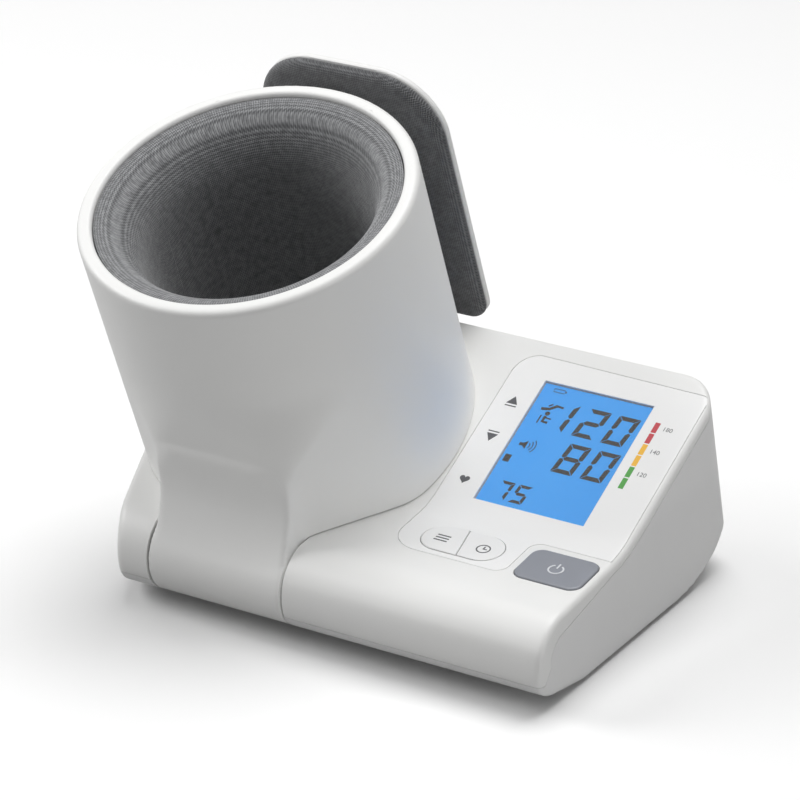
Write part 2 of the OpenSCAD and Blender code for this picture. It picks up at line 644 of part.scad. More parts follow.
module display_panel() color(white) on_feet() difference() {
    panel_body(0, panel_t);
    screen_hole(0.05, -5, 5);
    on_platform(pair_x, pair_back) translate([0, 0, -8]) linear_extrude(16) pair_outline(key_gap);
}
module display_window() color("#dfeaf5", 0.4) on_feet() screen_hole(-0.05, -window_t, -0.05);
module lcd_cell() color("#51b2fe") on_feet() screen_hole(-0.1, -cell_depth - cell_t, -cell_depth);
module light_guide() color("#f2fbff") on_feet() screen_hole(-0.1, -guide_depth - guide_t, -guide_depth);
module lcd_frame() color(pale) on_feet() on_slope() difference() {
    slab(-screen_w / 2 - 2.4, screen_w / 2 + 2.4, -screen_h / 2 - 2.4, screen_h / 2 + 2.4,
        -board_depth + fit, -wall - 0.1);
    slab(-screen_w / 2, screen_w / 2, -screen_h / 2, screen_h / 2, -guide_depth - guide_t - 0.1, 0);
    slab(-screen_w / 2 + 3, screen_w / 2 - 3, -screen_h / 2 + 3, screen_h / 2 - 3, -board_depth, 0);
}
module main_board() color("#2f6b45") on_feet() on_slope() difference() {
    slab(-board_w / 2, board_w / 2, -board_h / 2, board_h / 2, -board_depth - board_t, -board_depth);
    at_posts() translate([0, 0, -board_depth - 3]) cylinder(r = 1.5, h = 6, $fn = 32);
}
module board_screws() color(steel) on_feet() on_slope() at_posts() {
    translate([0, 0, -board_depth - board_t - 1.6]) cylinder(r = 2.4, h = 1.55, $fn = 32);
    translate([0, 0, -board_depth - board_t - 0.1]) cylinder(r = 1.15, h = 7, $fn = 32);
}
sensor_x = -18;
sensor_y = -20;
module pressure_sensor() color(dark) on_feet() on_slope()
    translate([sensor_x, sensor_y, -board_depth - board_t]) {
    translate([0, 0, -5]) box_at(10, 10, 4.95);
    translate([0, 0, -10]) cylinder(r = spigot_r, h = 5, $fn = 32);
}
module key_mat() color("#9a9ca0") on_feet() {
    on_platform(pair_x, pair_back)
        slab(key_board_x0 - pair_x, key_board_x1 - pair_x, -9, 9, -mat_depth - mat_t, -mat_depth);
    for (x = [-pair_w / 4, pair_w / 4, start_x - pair_x])
        on_platform(pair_x, pair_back)
            translate([x, 0, -mat_depth]) cylinder(r1 = dome_r, r2 = dome_r - 1, h = dome_h, $fn = 32);
}
module key_board() color("#2f6b45") on_feet() on_platform(pair_x, pair_back)
    slab(key_board_x0 - pair_x - 3, key_board_x1 - pair_x + 2, -10, 18.5,
        -mat_depth - mat_t - board_t, -mat_depth - mat_t);

module key_body(proud) {
    translate([0, 0, -wall - 0.05]) linear_extrude(wall + 0.05 + proud) children(0);
    translate([0, 0, -wall - key_flange_t]) linear_extrude(key_flange_t - 0.05) children(1);
}
module start_key() color("#9599a0") on_feet() on_platform(start_x, start_back) {
    key_body(start_proud) {
        start_outline(0);
        intersection() {
            start_outline(key_flange);
            translate([-start_w, -start_w]) square([1.5 * start_w + 0.2, 2 * start_w]);
        }
    }
}
module pair_half(side) {
    cut = pair_w;
    rotate(pair_slant) translate([side > 0 ? key_gap / 2 : -cut - key_gap / 2, -cut / 2]) square([cut, cut]);
}
module small_key(side) on_platform(pair_x, pair_back) key_body(pair_proud) {
    intersection() {
        pair_outline(0);
        pair_half(side);
    }
    intersection() {
        pair_outline(key_flange);
        pair_half(side);
    }
}
module memory_key() color(white) on_feet() small_key(-1);
module set_key() color(white) on_feet() small_key(1);

// ---- inside the base ----
function slope_at(x, v, w) = [screen_x + x, crease_y + (screen_v + v) * slope[0] + w * slope_up[0],
    crease_z + (screen_v + v) * slope[1] + w * slope_up[1]];
stub_x = [knuckle_x[0] + knuckle_end + 1, knuckle_x[1] - knuckle_end - 1];
stub_ends = [bracket_x[0] - 1.5, bracket_x[1] + bracket_w + 3];

module air_pump_motor() color(steel) on_feet() {
    rod_x(motor_r, pump_x - motor_l, pump_x - 0.1, pump_y, pump_z);
    rod_x(motor_r * 0.4, pump_x - motor_l - 2, pump_x - motor_l, pump_y, pump_z);
}
module air_pump_head() color(dark) on_feet() {
    translate([pump_x + head_l / 2, pump_y, pump_z - head_s / 2]) box_at(head_l, head_s, head_s);
    rod_x(spigot_r, pump_x + head_l - 1, pump_x + head_l + spigot_l, pump_y, pump_z);
}
module pump_saddle() color("#55585c") on_feet() difference() {
    slab(pump_x - motor_l + 2, pump_x + head_l - 1, pump_y - head_s / 2 - 3, pump_y + head_s / 2 + 3,
        wall, pump_z);
    slab(pump_x - 0.5, pump_x + head_l, pump_y - head_s / 2 - 0.1, pump_y + head_s / 2 + 0.1,
        pump_z - head_s / 2 - 0.1, big / 4);
    rod_x(motor_r + 0.1, pump_x - motor_l, pump_x, pump_y, pump_z);
}
module release_valve() color("#6f7378") on_feet() {
    translate([valve_x - valve_l / 2, valve_y, tee_z - valve_s / 2]) box_at(valve_l, valve_s, valve_s);
    translate([valve_x - valve_l / 2, valve_y, wall])
        box_at(valve_l - 8, valve_s - 6, tee_z - valve_s / 2 - wall + 1);
    rod_x(spigot_r, valve_x - 1, valve_x + spigot_l, valve_y, tee_z);
}
module air_block() color(pale) on_feet() {
    translate([tee_x, tee_y, wall]) box_at(5, 5, tee_z - tee_s / 2 - wall + 1);
    translate([tee_x, tee_y, tee_z - tee_s / 2]) box_at(tee_s, tee_s, tee_s);
    rod_x(spigot_r, tee_x - tee_reach, tee_x + tee_reach, tee_y, tee_z);
    translate([tee_x, tee_y, tee_z]) cylinder(r = spigot_r, h = tee_reach, $fn = 32);
    translate([tee_x, tee_y, tee_z]) rotate([-90, 0, 0]) cylinder(r = spigot_r, h = tee_reach, $fn = 32);
}
module pump_hose() color("#c9ccd0") on_feet() hose(route([
    [pump_x + head_l + spigot_l, pump_y, pump_z], [tee_x, pump_y, pump_z],
    [tee_x, tee_y + tee_reach + 10, tee_z], [tee_x, tee_y + tee_reach, tee_z]], hose_bend), hose_r);
module valve_hose() color("#c9ccd0") on_feet()
    rod_x(hose_r, valve_x + spigot_l, tee_x - tee_reach, tee_y, tee_z);
module sensor_hose() {
    top = -board_depth - board_t - 10;
    color("#c9ccd0") on_feet() hose(route([[tee_x, tee_y, tee_z + tee_reach], [tee_x, tee_y, tee_z + tee_reach + 14],
        slope_at(sensor_x, sensor_y, top - 14), slope_at(sensor_x, sensor_y, top)], hose_bend), hose_r);
}
module supply_hose() {
    out = stub_ends[1] + 18;
    color("#c9ccd0") on_feet() hose(route([[tee_x + tee_reach, tee_y, tee_z], [out, tee_y, tee_z],
        [out, nose_y, nose_z], [stub_x[1] + 0.5, nose_y, nose_z]], hose_bend), hose_r);
}
module loudspeaker() color(dark) on_feet() translate([speaker_x, speaker_y, wall + 0.05]) {
    cylinder(r = speaker_r, h = speaker_h * 0.4, $fn = 64);
    cylinder(r = speaker_r * 0.6, h = speaker_h, $fn = 64);
}

module battery_box() color(dark) on_feet() translate([box_x, box_y, wall + 1.2]) difference() {
    box_at(box_w + 2 * box_wall, box_d + 2 * box_wall, box_h + box_wall - wall - 1.2);
    translate([0, 0, -1]) box_at(box_w, box_d, box_h - wall - 0.2);
}
function cell_x(i) = box_x + (i - (cells - 1) / 2) * cell_pitch;
module at_cells() for (i = [0 : cells - 1])
    translate([cell_x(i), box_y, cell_z]) rotate([0, 0, i % 2 == 0 ? 0 : 180]) children();
module battery_cells() color("#c8943a") on_feet() at_cells() rotate([90, 0, 0]) {
    translate([0, 0, -cell_l / 2]) cylinder(r = cell_r, h = cell_l - 1.2, $fn = 48);
    translate([0, 0, cell_l / 2 - 1.3]) cylinder(r = 2.7, h = 1.3, $fn = 32);
}
module battery_springs() color(steel) on_feet() at_cells()
    translate([0, cell_l / 2 + 0.1, 0]) rotate([-90, 0, 0])
    cylinder(r1 = 2.4, r2 = 4.5, h = contact_room - 0.1, $fn = 32);
module battery_plates() color(steel) on_feet() at_cells() translate([0, -cell_l / 2 - 0.6, 0]) {
    slab(-4.5, 4.5, 0, 0.5, -4.5, 4.5);
    for (x = [-4.5, 4]) slab(x, x + 0.5, 0.6 - contact_room, 0.2, -4.5, 4.5);
}
module battery_door() color(pale) on_feet() difference() {
    union() {
        slab(box_x - hole_w / 2 + door_gap, box_x + hole_w / 2 - door_gap,
            door_y, box_y + hole_d / 2 - door_gap, 0, door_t);
        rod_x(door_edge_r, box_x - hole_w / 2 + door_gap, box_x + hole_w / 2 - door_gap, door_y, door_edge_r);
        rod_x(door_peg_r, box_x - hole_w / 2 - 1.5, box_x + hole_w / 2 + 1.5, door_y, door_edge_r);
    }
    translate([box_x, box_y + hole_d / 2 - 6, -1]) for (y = [0 : 2 : 4])
        translate([0, -y, 0]) box_at(14, 1, 1.6);
}
module power_socket() color(dark) on_feet() translate([socket_x, socket_y - 1.3, socket_z]) {
    difference() {
        union() {
            slab(-socket_s / 2, socket_s / 2, -socket_l, -wall, -socket_s / 2, socket_s / 2);
            translate([0, -wall - 1, 0])
                rotate([-90, 0, 0]) cylinder(r = socket_r + 1.2, h = wall + 1, $fn = 32);
        }
        translate([0, -9, 0]) rotate([-90, 0, 0]) cylinder(r = socket_r, h = 12, $fn = 48);
    }
    translate([0, -9.5, 0]) rotate([-90, 0, 0]) cylinder(r = 1, h = 8, $fn = 32);
}

// ---- tube hinge ----
module hinge_brackets() color(steel) on_feet() difference() {
    intersection() {
        for (x = bracket_x) slab(x, x + bracket_w, nose_y - 9, nose_y + 11, 0, nose_z + 10);
        base_block(wall + 0.05);
    }
    rod_x(stub_r, bracket_x[0] - 1, bracket_x[1] + bracket_w + 1, nose_y, nose_z);
}
module hinge_stub_left() color(steel) on_feet() rod_x(stub_r, stub_ends[0], stub_x[0], nose_y, nose_z);
module hinge_stub_right() color(steel) on_feet() difference() {
    rod_x(stub_r, stub_x[1], stub_ends[1], nose_y, nose_z);
    rod_x(stub_bore_r, stub_x[1] - 1, stub_ends[1] + 1, nose_y, nose_z);
}
module friction_washers() color(steel) on_feet()
    for (x = [bracket_x[0] + bracket_w, bracket_x[1] - washer_t]) difference() {
    rod_x(stub_r + 3, x + 0.05, x + washer_t - 0.05, nose_y, nose_z);
    rod_x(stub_r, x - 1, x + washer_t + 1, nose_y, nose_z);
}
module rubber_feet() color(dark) on_feet() at_feet() translate([0, 0, -foot_h])
    cylinder(r = foot_pad_r, h = foot_h + 0.75, $fn = 48);
module housing_screws() color(steel) on_feet() at_screws() {
    translate([0, 0, 0.3]) cylinder(r = head_r, h = head_t - 0.02, $fn = 32);
    translate([0, 0, 0.3]) cylinder(r = screw_r - 0.02, h = screw_l, $fn = 32);
}

// ---- arm tube, in its own frame ----
knuckle_t = [knuckle_x[0] - tube_x, knuckle_x[1] - tube_x];
apron_top = neck_c[1] + 30;
post_top = neck_c[1] - 12;
// Everything under the tube's foot: the base, and the space behind the base's back edge
module base_clearance() {
    difference() {
        across(inset(profile, -foot_gap), left_x - 20, right_x + 20);
        slab(knuckle_x[0] - 0.3, knuckle_x[1] + 0.3, front_y - 10, pocket_back - pocket_gap, nose_z, big / 2);
    }
    behind = [back_edge[0] - 8, back_edge[0] + 60];
    across([[behind[0], 0], [behind[1], 0], [behind[1], slope_z(behind[1]) + foot_gap + 0.2],
        [behind[0], slope_z(behind[0]) + foot_gap + 0.2]], left_x - 19, right_x + 19);
}
module tube_body() rotate_extrude($fn = fine) polygon(concat([[0, -tube_len - 20], [tube_r, -tube_len - 20]],
    arc([tube_r - rim_round, -rim_round], rim_round, 0, 90, 6), [[0, 0]]));
module tube_bore() rotate_extrude($fn = fine) polygon(concat([[0, -tube_len - 25], [bore_r, -tube_len - 25],
    [bore_r, -rim_t], [rim_in, -rim_t]],
    arc([rim_in + rim_inner_round, -rim_inner_round], rim_inner_round, 180, 90, 5),
    [[rim_in + rim_inner_round, 5], [0, 5]]));
module apron_flare() hull() {
    translate([0, 0, -tube_len - 3]) cylinder(r = tube_r - 0.3, h = tube_len + 3 + apron_top, $fn = fine);
    slab(knuckle_t[0] + 0.4, knuckle_t[1] - 0.4, -apron, -apron + 1, -tube_len - 3, post_top);
}
module neck() intersection() {
    across(concat([nose_t], [nose_t + nose_r * [cos(neck_a), sin(neck_a)]],
        arc(neck_c, neck_r, neck_a - 180, 0, 10), [[-60, neck_c[1]], [-60, nose_t[1] + 4]]),
        knuckle_t[0] + 0.2, knuckle_t[1] - 0.2);
    rotate([90, 0, 0]) linear_extrude(big) polygon([[knuckle_t[0] - 1, nose_t[1] - nose_r],
        [knuckle_t[1] + 1, nose_t[1] - nose_r], [knuckle_t[1] + 1, post_top], [knuckle_t[1] - 14, neck_c[1] + 1],
        [knuckle_t[0] + 10, neck_c[1] + 1], [knuckle_t[0] - 1, post_top]]);
}
module neck_hollow() across(concat([nose_t + [4, 0]],
    [nose_t + (nose_r - tube_wall) * [cos(neck_a + 25), sin(neck_a + 25)]],
    arc(neck_c, neck_r + tube_wall, neck_a - 172, -10, 8),
    [[-bore_r + 4, neck_c[1] - 8], [-bore_r + 4, nose_t[1] + 6]]),
    knuckle_t[0] + knuckle_end + 0.5, knuckle_t[1] - knuckle_end - 0.5);
function end_screw_a(i) = 277.5 + (i + 0.5) * 360 / end_screws;
module at_end_screws() for (i = [0 : end_screws - 1])
    rotate(end_screw_a(i)) translate([bore_r - 4.4, 0, 0]) children();
module arm_tube() color(white) on_feet() difference() {
    union() {
        difference() {
            union() {
                in_tube() {
                    difference() {
                        union() {
                            tube_body();
                            apron_flare();
                            neck();
                        }
                        tube_bore();
                    }
                    intersection() {
                        at_end_screws() translate([0, 0, ring_z + end_ring_t + 0.05]) {
                            cylinder(r = 3.4, h = 14, $fn = 32);
                            slab(0, 5, -1.2, 1.2, 0, 14);
                        }
                        translate([0, 0, -tube_len]) cylinder(r = tube_r - 0.5, h = tube_len, $fn = fine);
                    }
                }
            }
            base_clearance();
        }
        rod_x(nose_r, knuckle_x[0], knuckle_x[1], nose_y, nose_z);
    }
    in_tube() neck_hollow();
    in_tube() at_end_screws() translate([0, 0, ring_z]) cylinder(r = 1.1, h = 12, $fn = 32);
    rod_x(nose_r - tube_wall, knuckle_x[0] + knuckle_end, knuckle_x[1] - knuckle_end, nose_y, nose_z);
    rod_x(bush_r, knuckle_x[0] - 1, knuckle_x[1] + 1, nose_y, nose_z);
}
module hinge_bushes() color("#d8d4c8") on_feet()
    for (x = [knuckle_x[0], knuckle_x[1] - knuckle_end]) difference() {
    rod_x(bush_r, x, x + knuckle_end, nose_y, nose_z);
    rod_x(stub_r + stub_clear, x - 1, x + knuckle_end + 1, nose_y, nose_z);
}

low_z = ring_z + end_ring_t + 0.2;
low_flare = 10;
mouth_c = [rim_in + 1.5, mouth_z - mouth_h];
module cuff_liner() color("#6b6c6e") on_feet() in_tube() rotate_extrude($fn = fine) polygon(concat(
    oval(mouth_c, mouth_c[0] - throat_r, mouth_h, 90, 180, 10),
    arc([throat_r + low_flare, low_z + low_flare], low_flare, 180, 270, 6),
    arc([throat_r + low_flare, low_z + low_flare], low_flare - liner_t, 270, 180, 6),
    oval(mouth_c, mouth_c[0] - throat_r - liner_t, mouth_h - liner_t, 180, 90, 10)));
drum_top = mouth_c[1] - 4;
module cuff_drum() color(pale) on_feet() in_tube() difference() {
    union() {
        translate([0, 0, low_z - 0.1]) cylinder(r = drum_out, h = drum_top - low_z + 0.1, $fn = fine);
        translate([0, 0, drum_top - 2]) cylinder(r = bore_r - 0.3, h = 2, $fn = fine);
    }
    translate([0, 0, low_z - 1]) cylinder(r = drum_in, h = tube_len, $fn = fine);
    rotate(nipple_a) translate([0, 0, nipple_z])
        rotate([0, 90, 0]) cylinder(r = spigot_r + 0.5, h = big / 4, $fn = 32);
}
sleeve_in = throat_r + liner_t + bladder_gap;
nipple_z = -100;
nipple_a = 285;
nipple_end = drum_out + 2;
module air_sleeve() color("#8e7f6a") on_feet() in_tube() {
    difference() {
        translate([0, 0, low_z + low_flare + 1])
            cylinder(r = sleeve_in + bladder_t, h = drum_top - low_z - low_flare - 2, $fn = fine);
        translate([0, 0, low_z]) cylinder(r = sleeve_in, h = tube_len, $fn = fine);
    }
    rotate(nipple_a) translate([sleeve_in + bladder_t - 1, 0, nipple_z]) rotate([0, 90, 0])
        cylinder(r = spigot_r, h = nipple_end - sleeve_in - bladder_t + 1, $fn = 32);
}
module end_ring() color(pale) on_feet() in_tube() difference() {
    translate([0, 0, ring_z]) cylinder(r = bore_r - 0.2, h = end_ring_t, $fn = fine);
    translate([0, 0, ring_z - 1]) cylinder(r = throat_r + 4, h = end_ring_t + 2, $fn = fine);
    at_end_screws() translate([0, 0, ring_z - 1]) cylinder(r = 1.5, h = end_ring_t + 2, $fn = 32);
    slab(hose_at[0] - hose_r - 0.8, hose_at[0] + hose_r + 0.8, -tube_r, hose_at[1],
        ring_z - 1, ring_z + end_ring_t + 1);
}
module end_ring_screws() color(steel) on_feet() in_tube() at_end_screws() {
    translate([0, 0, ring_z - 1.6]) cylinder(r = 2.6, h = 1.58, $fn = 32);
    translate([0, 0, ring_z - 0.1]) cylinder(r = 1.08, h = 11, $fn = 32);
}
hose_at = (drum_out + bore_r) / 2 * [cos(nipple_a), sin(nipple_a)];
module cuff_hose() color("#c9ccd0") on_feet() in_tube() hose(route([
    [stub_x[1] - tube_x - 0.4, nose_t[0], nose_t[1]], [hose_at[0], nose_t[0], nose_t[1]],
    [hose_at[0], hose_at[1], nose_t[1] + 34], [hose_at[0], hose_at[1], nipple_z + hose_r + 0.2]], 6), hose_r);

// ---- elbow rest, in the tube's frame at rest ----
shell_y = rest_y + cushion_t + fit;
function rest_outline(d) = let (w = rest_w / 2 - d, t = max(rest_top_r - d, 1), b = max(rest_low_r - d, 1),
    z0 = rest_z + d, z1 = rest_z + rest_l - d)
    concat(arc([w - b, z0 + b], b, -90, 0, 5), arc([w - t, z1 - t], t, 0, 90, 9),
        arc([t - w, z1 - t], t, 90, 180, 9), arc([b - w, z0 + b], b, 180, 270, 5));
module rest_layer(d, y0, y1) translate([0, y1, 0])
    rotate([90, 0, 0]) linear_extrude(y1 - y0) polygon(rest_outline(d));
module elbow_rest_shell() color(white) on_feet() in_tube() difference() {
    union() {
        hull() {
            rest_layer(0, shell_y, shell_y + rest_shell_t - 2);
            rest_layer(1.8, shell_y, shell_y + rest_shell_t);
        }
        rod_x(rest_lug_r, -rest_knuckle_w / 2, rest_knuckle_w / 2, rest_axis[0], rest_axis[1]);
        across([[rest_axis[0] + 2, rest_axis[1] - 4.5], [shell_y + rest_shell_t - 0.5, rest_z],
            [shell_y + rest_shell_t - 0.5, rest_z + 4], [shell_y, rest_z + 4], [shell_y, rest_z - 0.5],
            [rest_axis[0], rest_axis[1] + 4.5]], -rest_knuckle_w / 2, rest_knuckle_w / 2);
    }
    rod_x(rest_pin_r + rest_pin_clear, -rest_knuckle_w, rest_knuckle_w, rest_axis[0], rest_axis[1]);
}
module elbow_cushion() color("#5c5d60") on_feet() in_tube() hull() {
    rest_layer(0.4, rest_y + 4, rest_y + cushion_t);
    rest_layer(0, rest_y + 4.5, rest_y + cushion_t - 1);
    rest_layer(1.2, rest_y + 1.8, rest_y + cushion_t - 2);
    rest_layer(4, rest_y + 0.4, rest_y + cushion_t - 2);
    rest_layer(12, rest_y, rest_y + cushion_t - 2);
}
rest_pin_l = rest_knuckle_w + 2 * (rest_side_gap + rest_lug_w) + 3;
module elbow_rest_pin() color(steel) on_feet()
    rod_x(rest_pin_r, tube_x - rest_pin_l / 2, tube_x + rest_pin_l / 2, rest_axis_y, rest_axis_z);
module elbow_rest_clips() color(steel) on_feet()
    for (s = [-1, 1]) translate([s * (rest_pin_l / 2 - 1.1), 0, 0]) difference() {
    rod_x(rest_pin_r + 1.4, tube_x - 0.35, tube_x + 0.35, rest_axis_y, rest_axis_z);
    rod_x(rest_pin_r, tube_x - 1, tube_x + 1, rest_axis_y, rest_axis_z);
}

lower_housing();
upper_cover();
display_panel();
display_window();
lcd_cell();
lcd_frame();
light_guide();
main_board();
board_screws();
pressure_sensor();
key_mat();
key_board();
start_key();
memory_key();
set_key();
air_pump_motor();
air_pump_head();
pump_saddle();
release_valve();
air_block();
pump_hose();
valve_hose();
sensor_hose();
supply_hose();
loudspeaker();
battery_box();
battery_cells();
battery_springs();
battery_plates();
battery_door();
power_socket();
hinge_brackets();
hinge_stub_left();
hinge_stub_right();
friction_washers();
rubber_feet();
housing_screws();
arm_tube();
hinge_bushes();
cuff_drum();
air_sleeve();
cuff_liner();
end_ring();
end_ring_screws();
cuff_hose();
elbow_rest_shell();
elbow_cushion();
elbow_rest_pin();
elbow_rest_clips();
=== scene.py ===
import math

import bpy
import numpy as np
from mathutils import Matrix, Vector


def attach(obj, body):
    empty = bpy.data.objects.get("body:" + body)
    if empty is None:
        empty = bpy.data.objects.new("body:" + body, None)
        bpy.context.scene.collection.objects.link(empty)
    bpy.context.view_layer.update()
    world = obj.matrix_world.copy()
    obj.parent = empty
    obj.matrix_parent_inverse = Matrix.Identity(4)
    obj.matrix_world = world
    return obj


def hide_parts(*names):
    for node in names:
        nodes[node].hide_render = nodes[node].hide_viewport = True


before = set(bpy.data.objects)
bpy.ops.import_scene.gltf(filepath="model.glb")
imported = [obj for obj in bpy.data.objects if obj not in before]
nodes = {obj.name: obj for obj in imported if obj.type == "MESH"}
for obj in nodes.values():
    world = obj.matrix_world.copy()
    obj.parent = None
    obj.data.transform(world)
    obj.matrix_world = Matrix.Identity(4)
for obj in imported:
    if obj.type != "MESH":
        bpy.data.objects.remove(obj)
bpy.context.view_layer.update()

# ---- the monitor's sizes, in millimetres, as its construction has them ----
FOOT = 1.5
WALL = 2.4
SEAM_GAP = 0.3
TUBE_X, FOOT_Y = -54.0, 18.1747
TUBE_R, BORE_R, TUBE_TILT = 83.0, 80.4, 21.8
NOSE_Y, NOSE_Z, NOSE_R = -64.8253, 27.8, 21.6
NOSE_IN_TUBE = (-92.5435, -155.577)
NECK_X, NECK_HALF_W = 10.1, 38
KNUCKLE = (-81.9, -5.9)
POCKET_R, POCKET_BACK, POCKET_SIDE = 22.1, NOSE_Y + 8, 1
CREASE_Y, CREASE_Z = -9.5253, 55.3312
BEND, BEND_R = (-23.4161, 102.136), 48
RAMP_Y = -40.0601
DISPLAY_TILT, PLATFORM_TILT = 27.06, 6.0
FRONT_Y, REAR_Y = -86.4253, 112.841
BACK_EDGE, BACK_LEAN = (92.0887, 107.24), 15.0
RIGHT_X, CORNER_R = 137.5, 23.5
HEEL_R, HEEL_TURN, HEEL_REACH = 30.0, 31.0, 167.93
DOOR_X, DOOR_Y = 80.5, 30.175
FILM_MARGIN = 1.4
SCREEN_X, SCREEN_UP = 80.35, 49.1723
SCREEN_W, SCREEN_H = 60.3, 78.5
START_X, START_BACK, START_W, START_D = 115.7, 26.3, 35.5, 26.4
PAIR_X, PAIR_BACK, PAIR_W, PAIR_D, PAIR_SLANT = 64.05, 24.5, 43.0, 22.0, 12.5
REST_AXIS = (90.0, -152.391)
REST_Y, REST_Z, REST_W, REST_L = 87.0, -145.891, 104.0, 151.8
REST_FOOT_R, REST_TOP_R = 9, 34
CUSHION_T, REST_SHELL_T = 7.0, 4.0
ON_SHELL = (-0.04, 0.03)
ON_GLASS = (-1.09, -1.02)


# ---- places: where a piece's own flat drawing lies on the monitor ----
def tilted(x, y, z, degrees):
    return Matrix.Translation((x, y, z)) @ Matrix.Rotation(math.radians(degrees), 4, "X")


def on_platform(x, back):
    lean = math.radians(PLATFORM_TILT)
    return tilted(x, CREASE_Y - back * math.cos(lean), CREASE_Z - back * math.sin(lean), PLATFORM_TILT)


IN_TUBE = tilted(TUBE_X, -36.6763, 206.619, TUBE_TILT)
ON_SLOPE = tilted(SCREEN_X, CREASE_Y + SCREEN_UP * math.cos(math.radians(DISPLAY_TILT)),
                  CREASE_Z + SCREEN_UP * math.sin(math.radians(DISPLAY_TILT)), DISPLAY_TILT)


# ---- flat outlines ----
def arc(centre, radius, start, end, step=3.0):
    """Points along a part of a circle, or of an oval where radius is a pair."""
    rx, ry = radius if isinstance(radius, tuple) else (radius, radius)
    count = max(2, int(math.ceil(abs(end - start) / step)) + 1)
    turns = np.radians(np.linspace(start, end, count))
    return [(centre[0] + rx * math.cos(t), centre[1] + ry * math.sin(t)) for t in turns]


def moved_in(outline, depth):
    """A counter-clockwise outline with every side moved inwards by depth."""
    p = np.array(outline, float)
    ahead = np.roll(p, -1, 0) - p
    ahead /= np.linalg.norm(ahead, axis=1)[:, None]
    side = np.stack([-ahead[:, 1], ahead[:, 0]], 1)
    before = np.roll(side, 1, 0)
    return p + depth * (before + side) / (1 + (before * side).sum(1))[:, None]


def inside_of(outline):
    """How far a point is from a closed outline: less than nothing inside it."""
    p = np.array(outline, float)
    q = np.roll(p, -1, 0)

    def distance(u, v):
        shape = np.broadcast(u, v).shape
        nearest, within = np.full(shape, 1e18), np.zeros(shape, bool)
        for (ax, ay), (bx, by) in zip(p, q):
            ex, ey = bx - ax, by - ay
            run = ex * ex + ey * ey
            if run < 1e-12:
                continue
            t = np.clip(((u - ax) * ex + (v - ay) * ey) / run, 0, 1)
            nearest = np.minimum(nearest, (u - ax - t * ex) ** 2 + (v - ay - t * ey) ** 2)
            if ey != 0:
                within = within ^ (((ay > v) != (by > v)) & (u < ex * (v - ay) / ey + ax))
        return np.where(within, -1, 1) * np.sqrt(nearest)
    return distance


def rounded_corner(a, b, radius):
    """How far a point is from a rounded corner, where a and b count from its centre."""
    return np.hypot(np.maximum(a, 0), np.maximum(b, 0)) + np.minimum(np.maximum(a, b), 0) - radius


def rounded_plate(u, v, half_w, half_d, radius):
    """How far a point is from a rounded rectangle."""
    return rounded_corner(np.abs(u) - half_w + radius, np.abs(v) - half_d + radius, radius)


# ---- solid forms with rounded edges ----
def meet(a, b, radius):
    """Where both forms are, with the edge between them rounded."""
    rounding = np.hypot(np.maximum(a + radius, 0), np.maximum(b + radius, 0))
    return np.minimum(-radius, np.maximum(a, b)) + rounding


def flow(a, b, radius):
    """Either form, with the corner between them filled in a soft curve."""
    h = np.clip(0.5 + 0.5 * (b - a) / radius, 0, 1)
    return b * (1 - h) + a * h - radius * h * (1 - h)


def skin(form, low, high, cell, rounds=3):
    """Points and faces of a form's surface. They lie on the surface itself, so large curves stay true."""
    low, high = np.array(low, float), np.array(high, float)
    count = np.ceil((high - low) / cell).astype(int) + 1
    x, y, z = (low[i] + cell * np.arange(count[i]) for i in range(3))
    v = np.broadcast_to(form(x[:, None, None], y[None, :, None], z[None, None, :]), count)
    cells = count - 1
    total, hits, quads = np.zeros((cells.prod(), 3)), np.zeros(cells.prod()), []
    for axis in range(3):
        u, w = (axis + 1) % 3, (axis + 2) % 3
        near, far = [slice(None)] * 3, [slice(None)] * 3
        near[axis], far[axis] = slice(0, -1), slice(1, None)
        a, b = v[tuple(near)], v[tuple(far)]
        edge = np.argwhere((a < 0) != (b < 0))
        av, bv = a[tuple(edge.T)], b[tuple(edge.T)]
        point = edge.astype(float)
        point[:, axis] += av / (av - bv)
        ring = []
        for du, dw in ((0, 0), (-1, 0), (-1, -1), (0, -1)):
            c = edge.copy()
            c[:, u] += du
            c[:, w] += dw
            flat = np.ravel_multi_index(tuple(c.T), tuple(cells))
            ring.append(flat)
            for k in range(3):
                total[:, k] += np.bincount(flat, point[:, k], len(total))
            hits += np.bincount(flat, minlength=len(hits))
        quad = np.stack(ring, 1)
        quad[av > 0] = quad[av > 0][:, ::-1]
        quads.append(quad)
    quads = np.concatenate(quads)
    used, quads = np.unique(quads, return_inverse=True)
    quads = quads.reshape(-1, 4)
    points = low + cell * total[used] / hits[used][:, None]
    pairs = np.concatenate([quads[:, [i, (i + 1) % 4]] for i in range(4)])
    near, far = np.concatenate([pairs[:, 0], pairs[:, 1]]), np.concatenate([pairs[:, 1], pairs[:, 0]])
    joins = np.bincount(near, minlength=len(points))[:, None]
    step = 0.02 * cell
    for turn in range(rounds + 2):
        if turn < rounds:
            mean = np.stack([np.bincount(near, points[far, k], len(points)) for k in range(3)], 1) / joins
            points = 0.4 * points + 0.6 * mean
        px, py, pz = points.T
        here = form(px, py, pz)
        slope = np.stack([form(px + step, py, pz) - here, form(px, py + step, pz) - here,
                          form(px, py, pz + step) - here], 1) / step
        away = (here / np.maximum((slope ** 2).sum(1), 0.05))[:, None] * slope
        points = points - np.clip(away, -0.6 * cell, 0.6 * cell)
    return points, quads


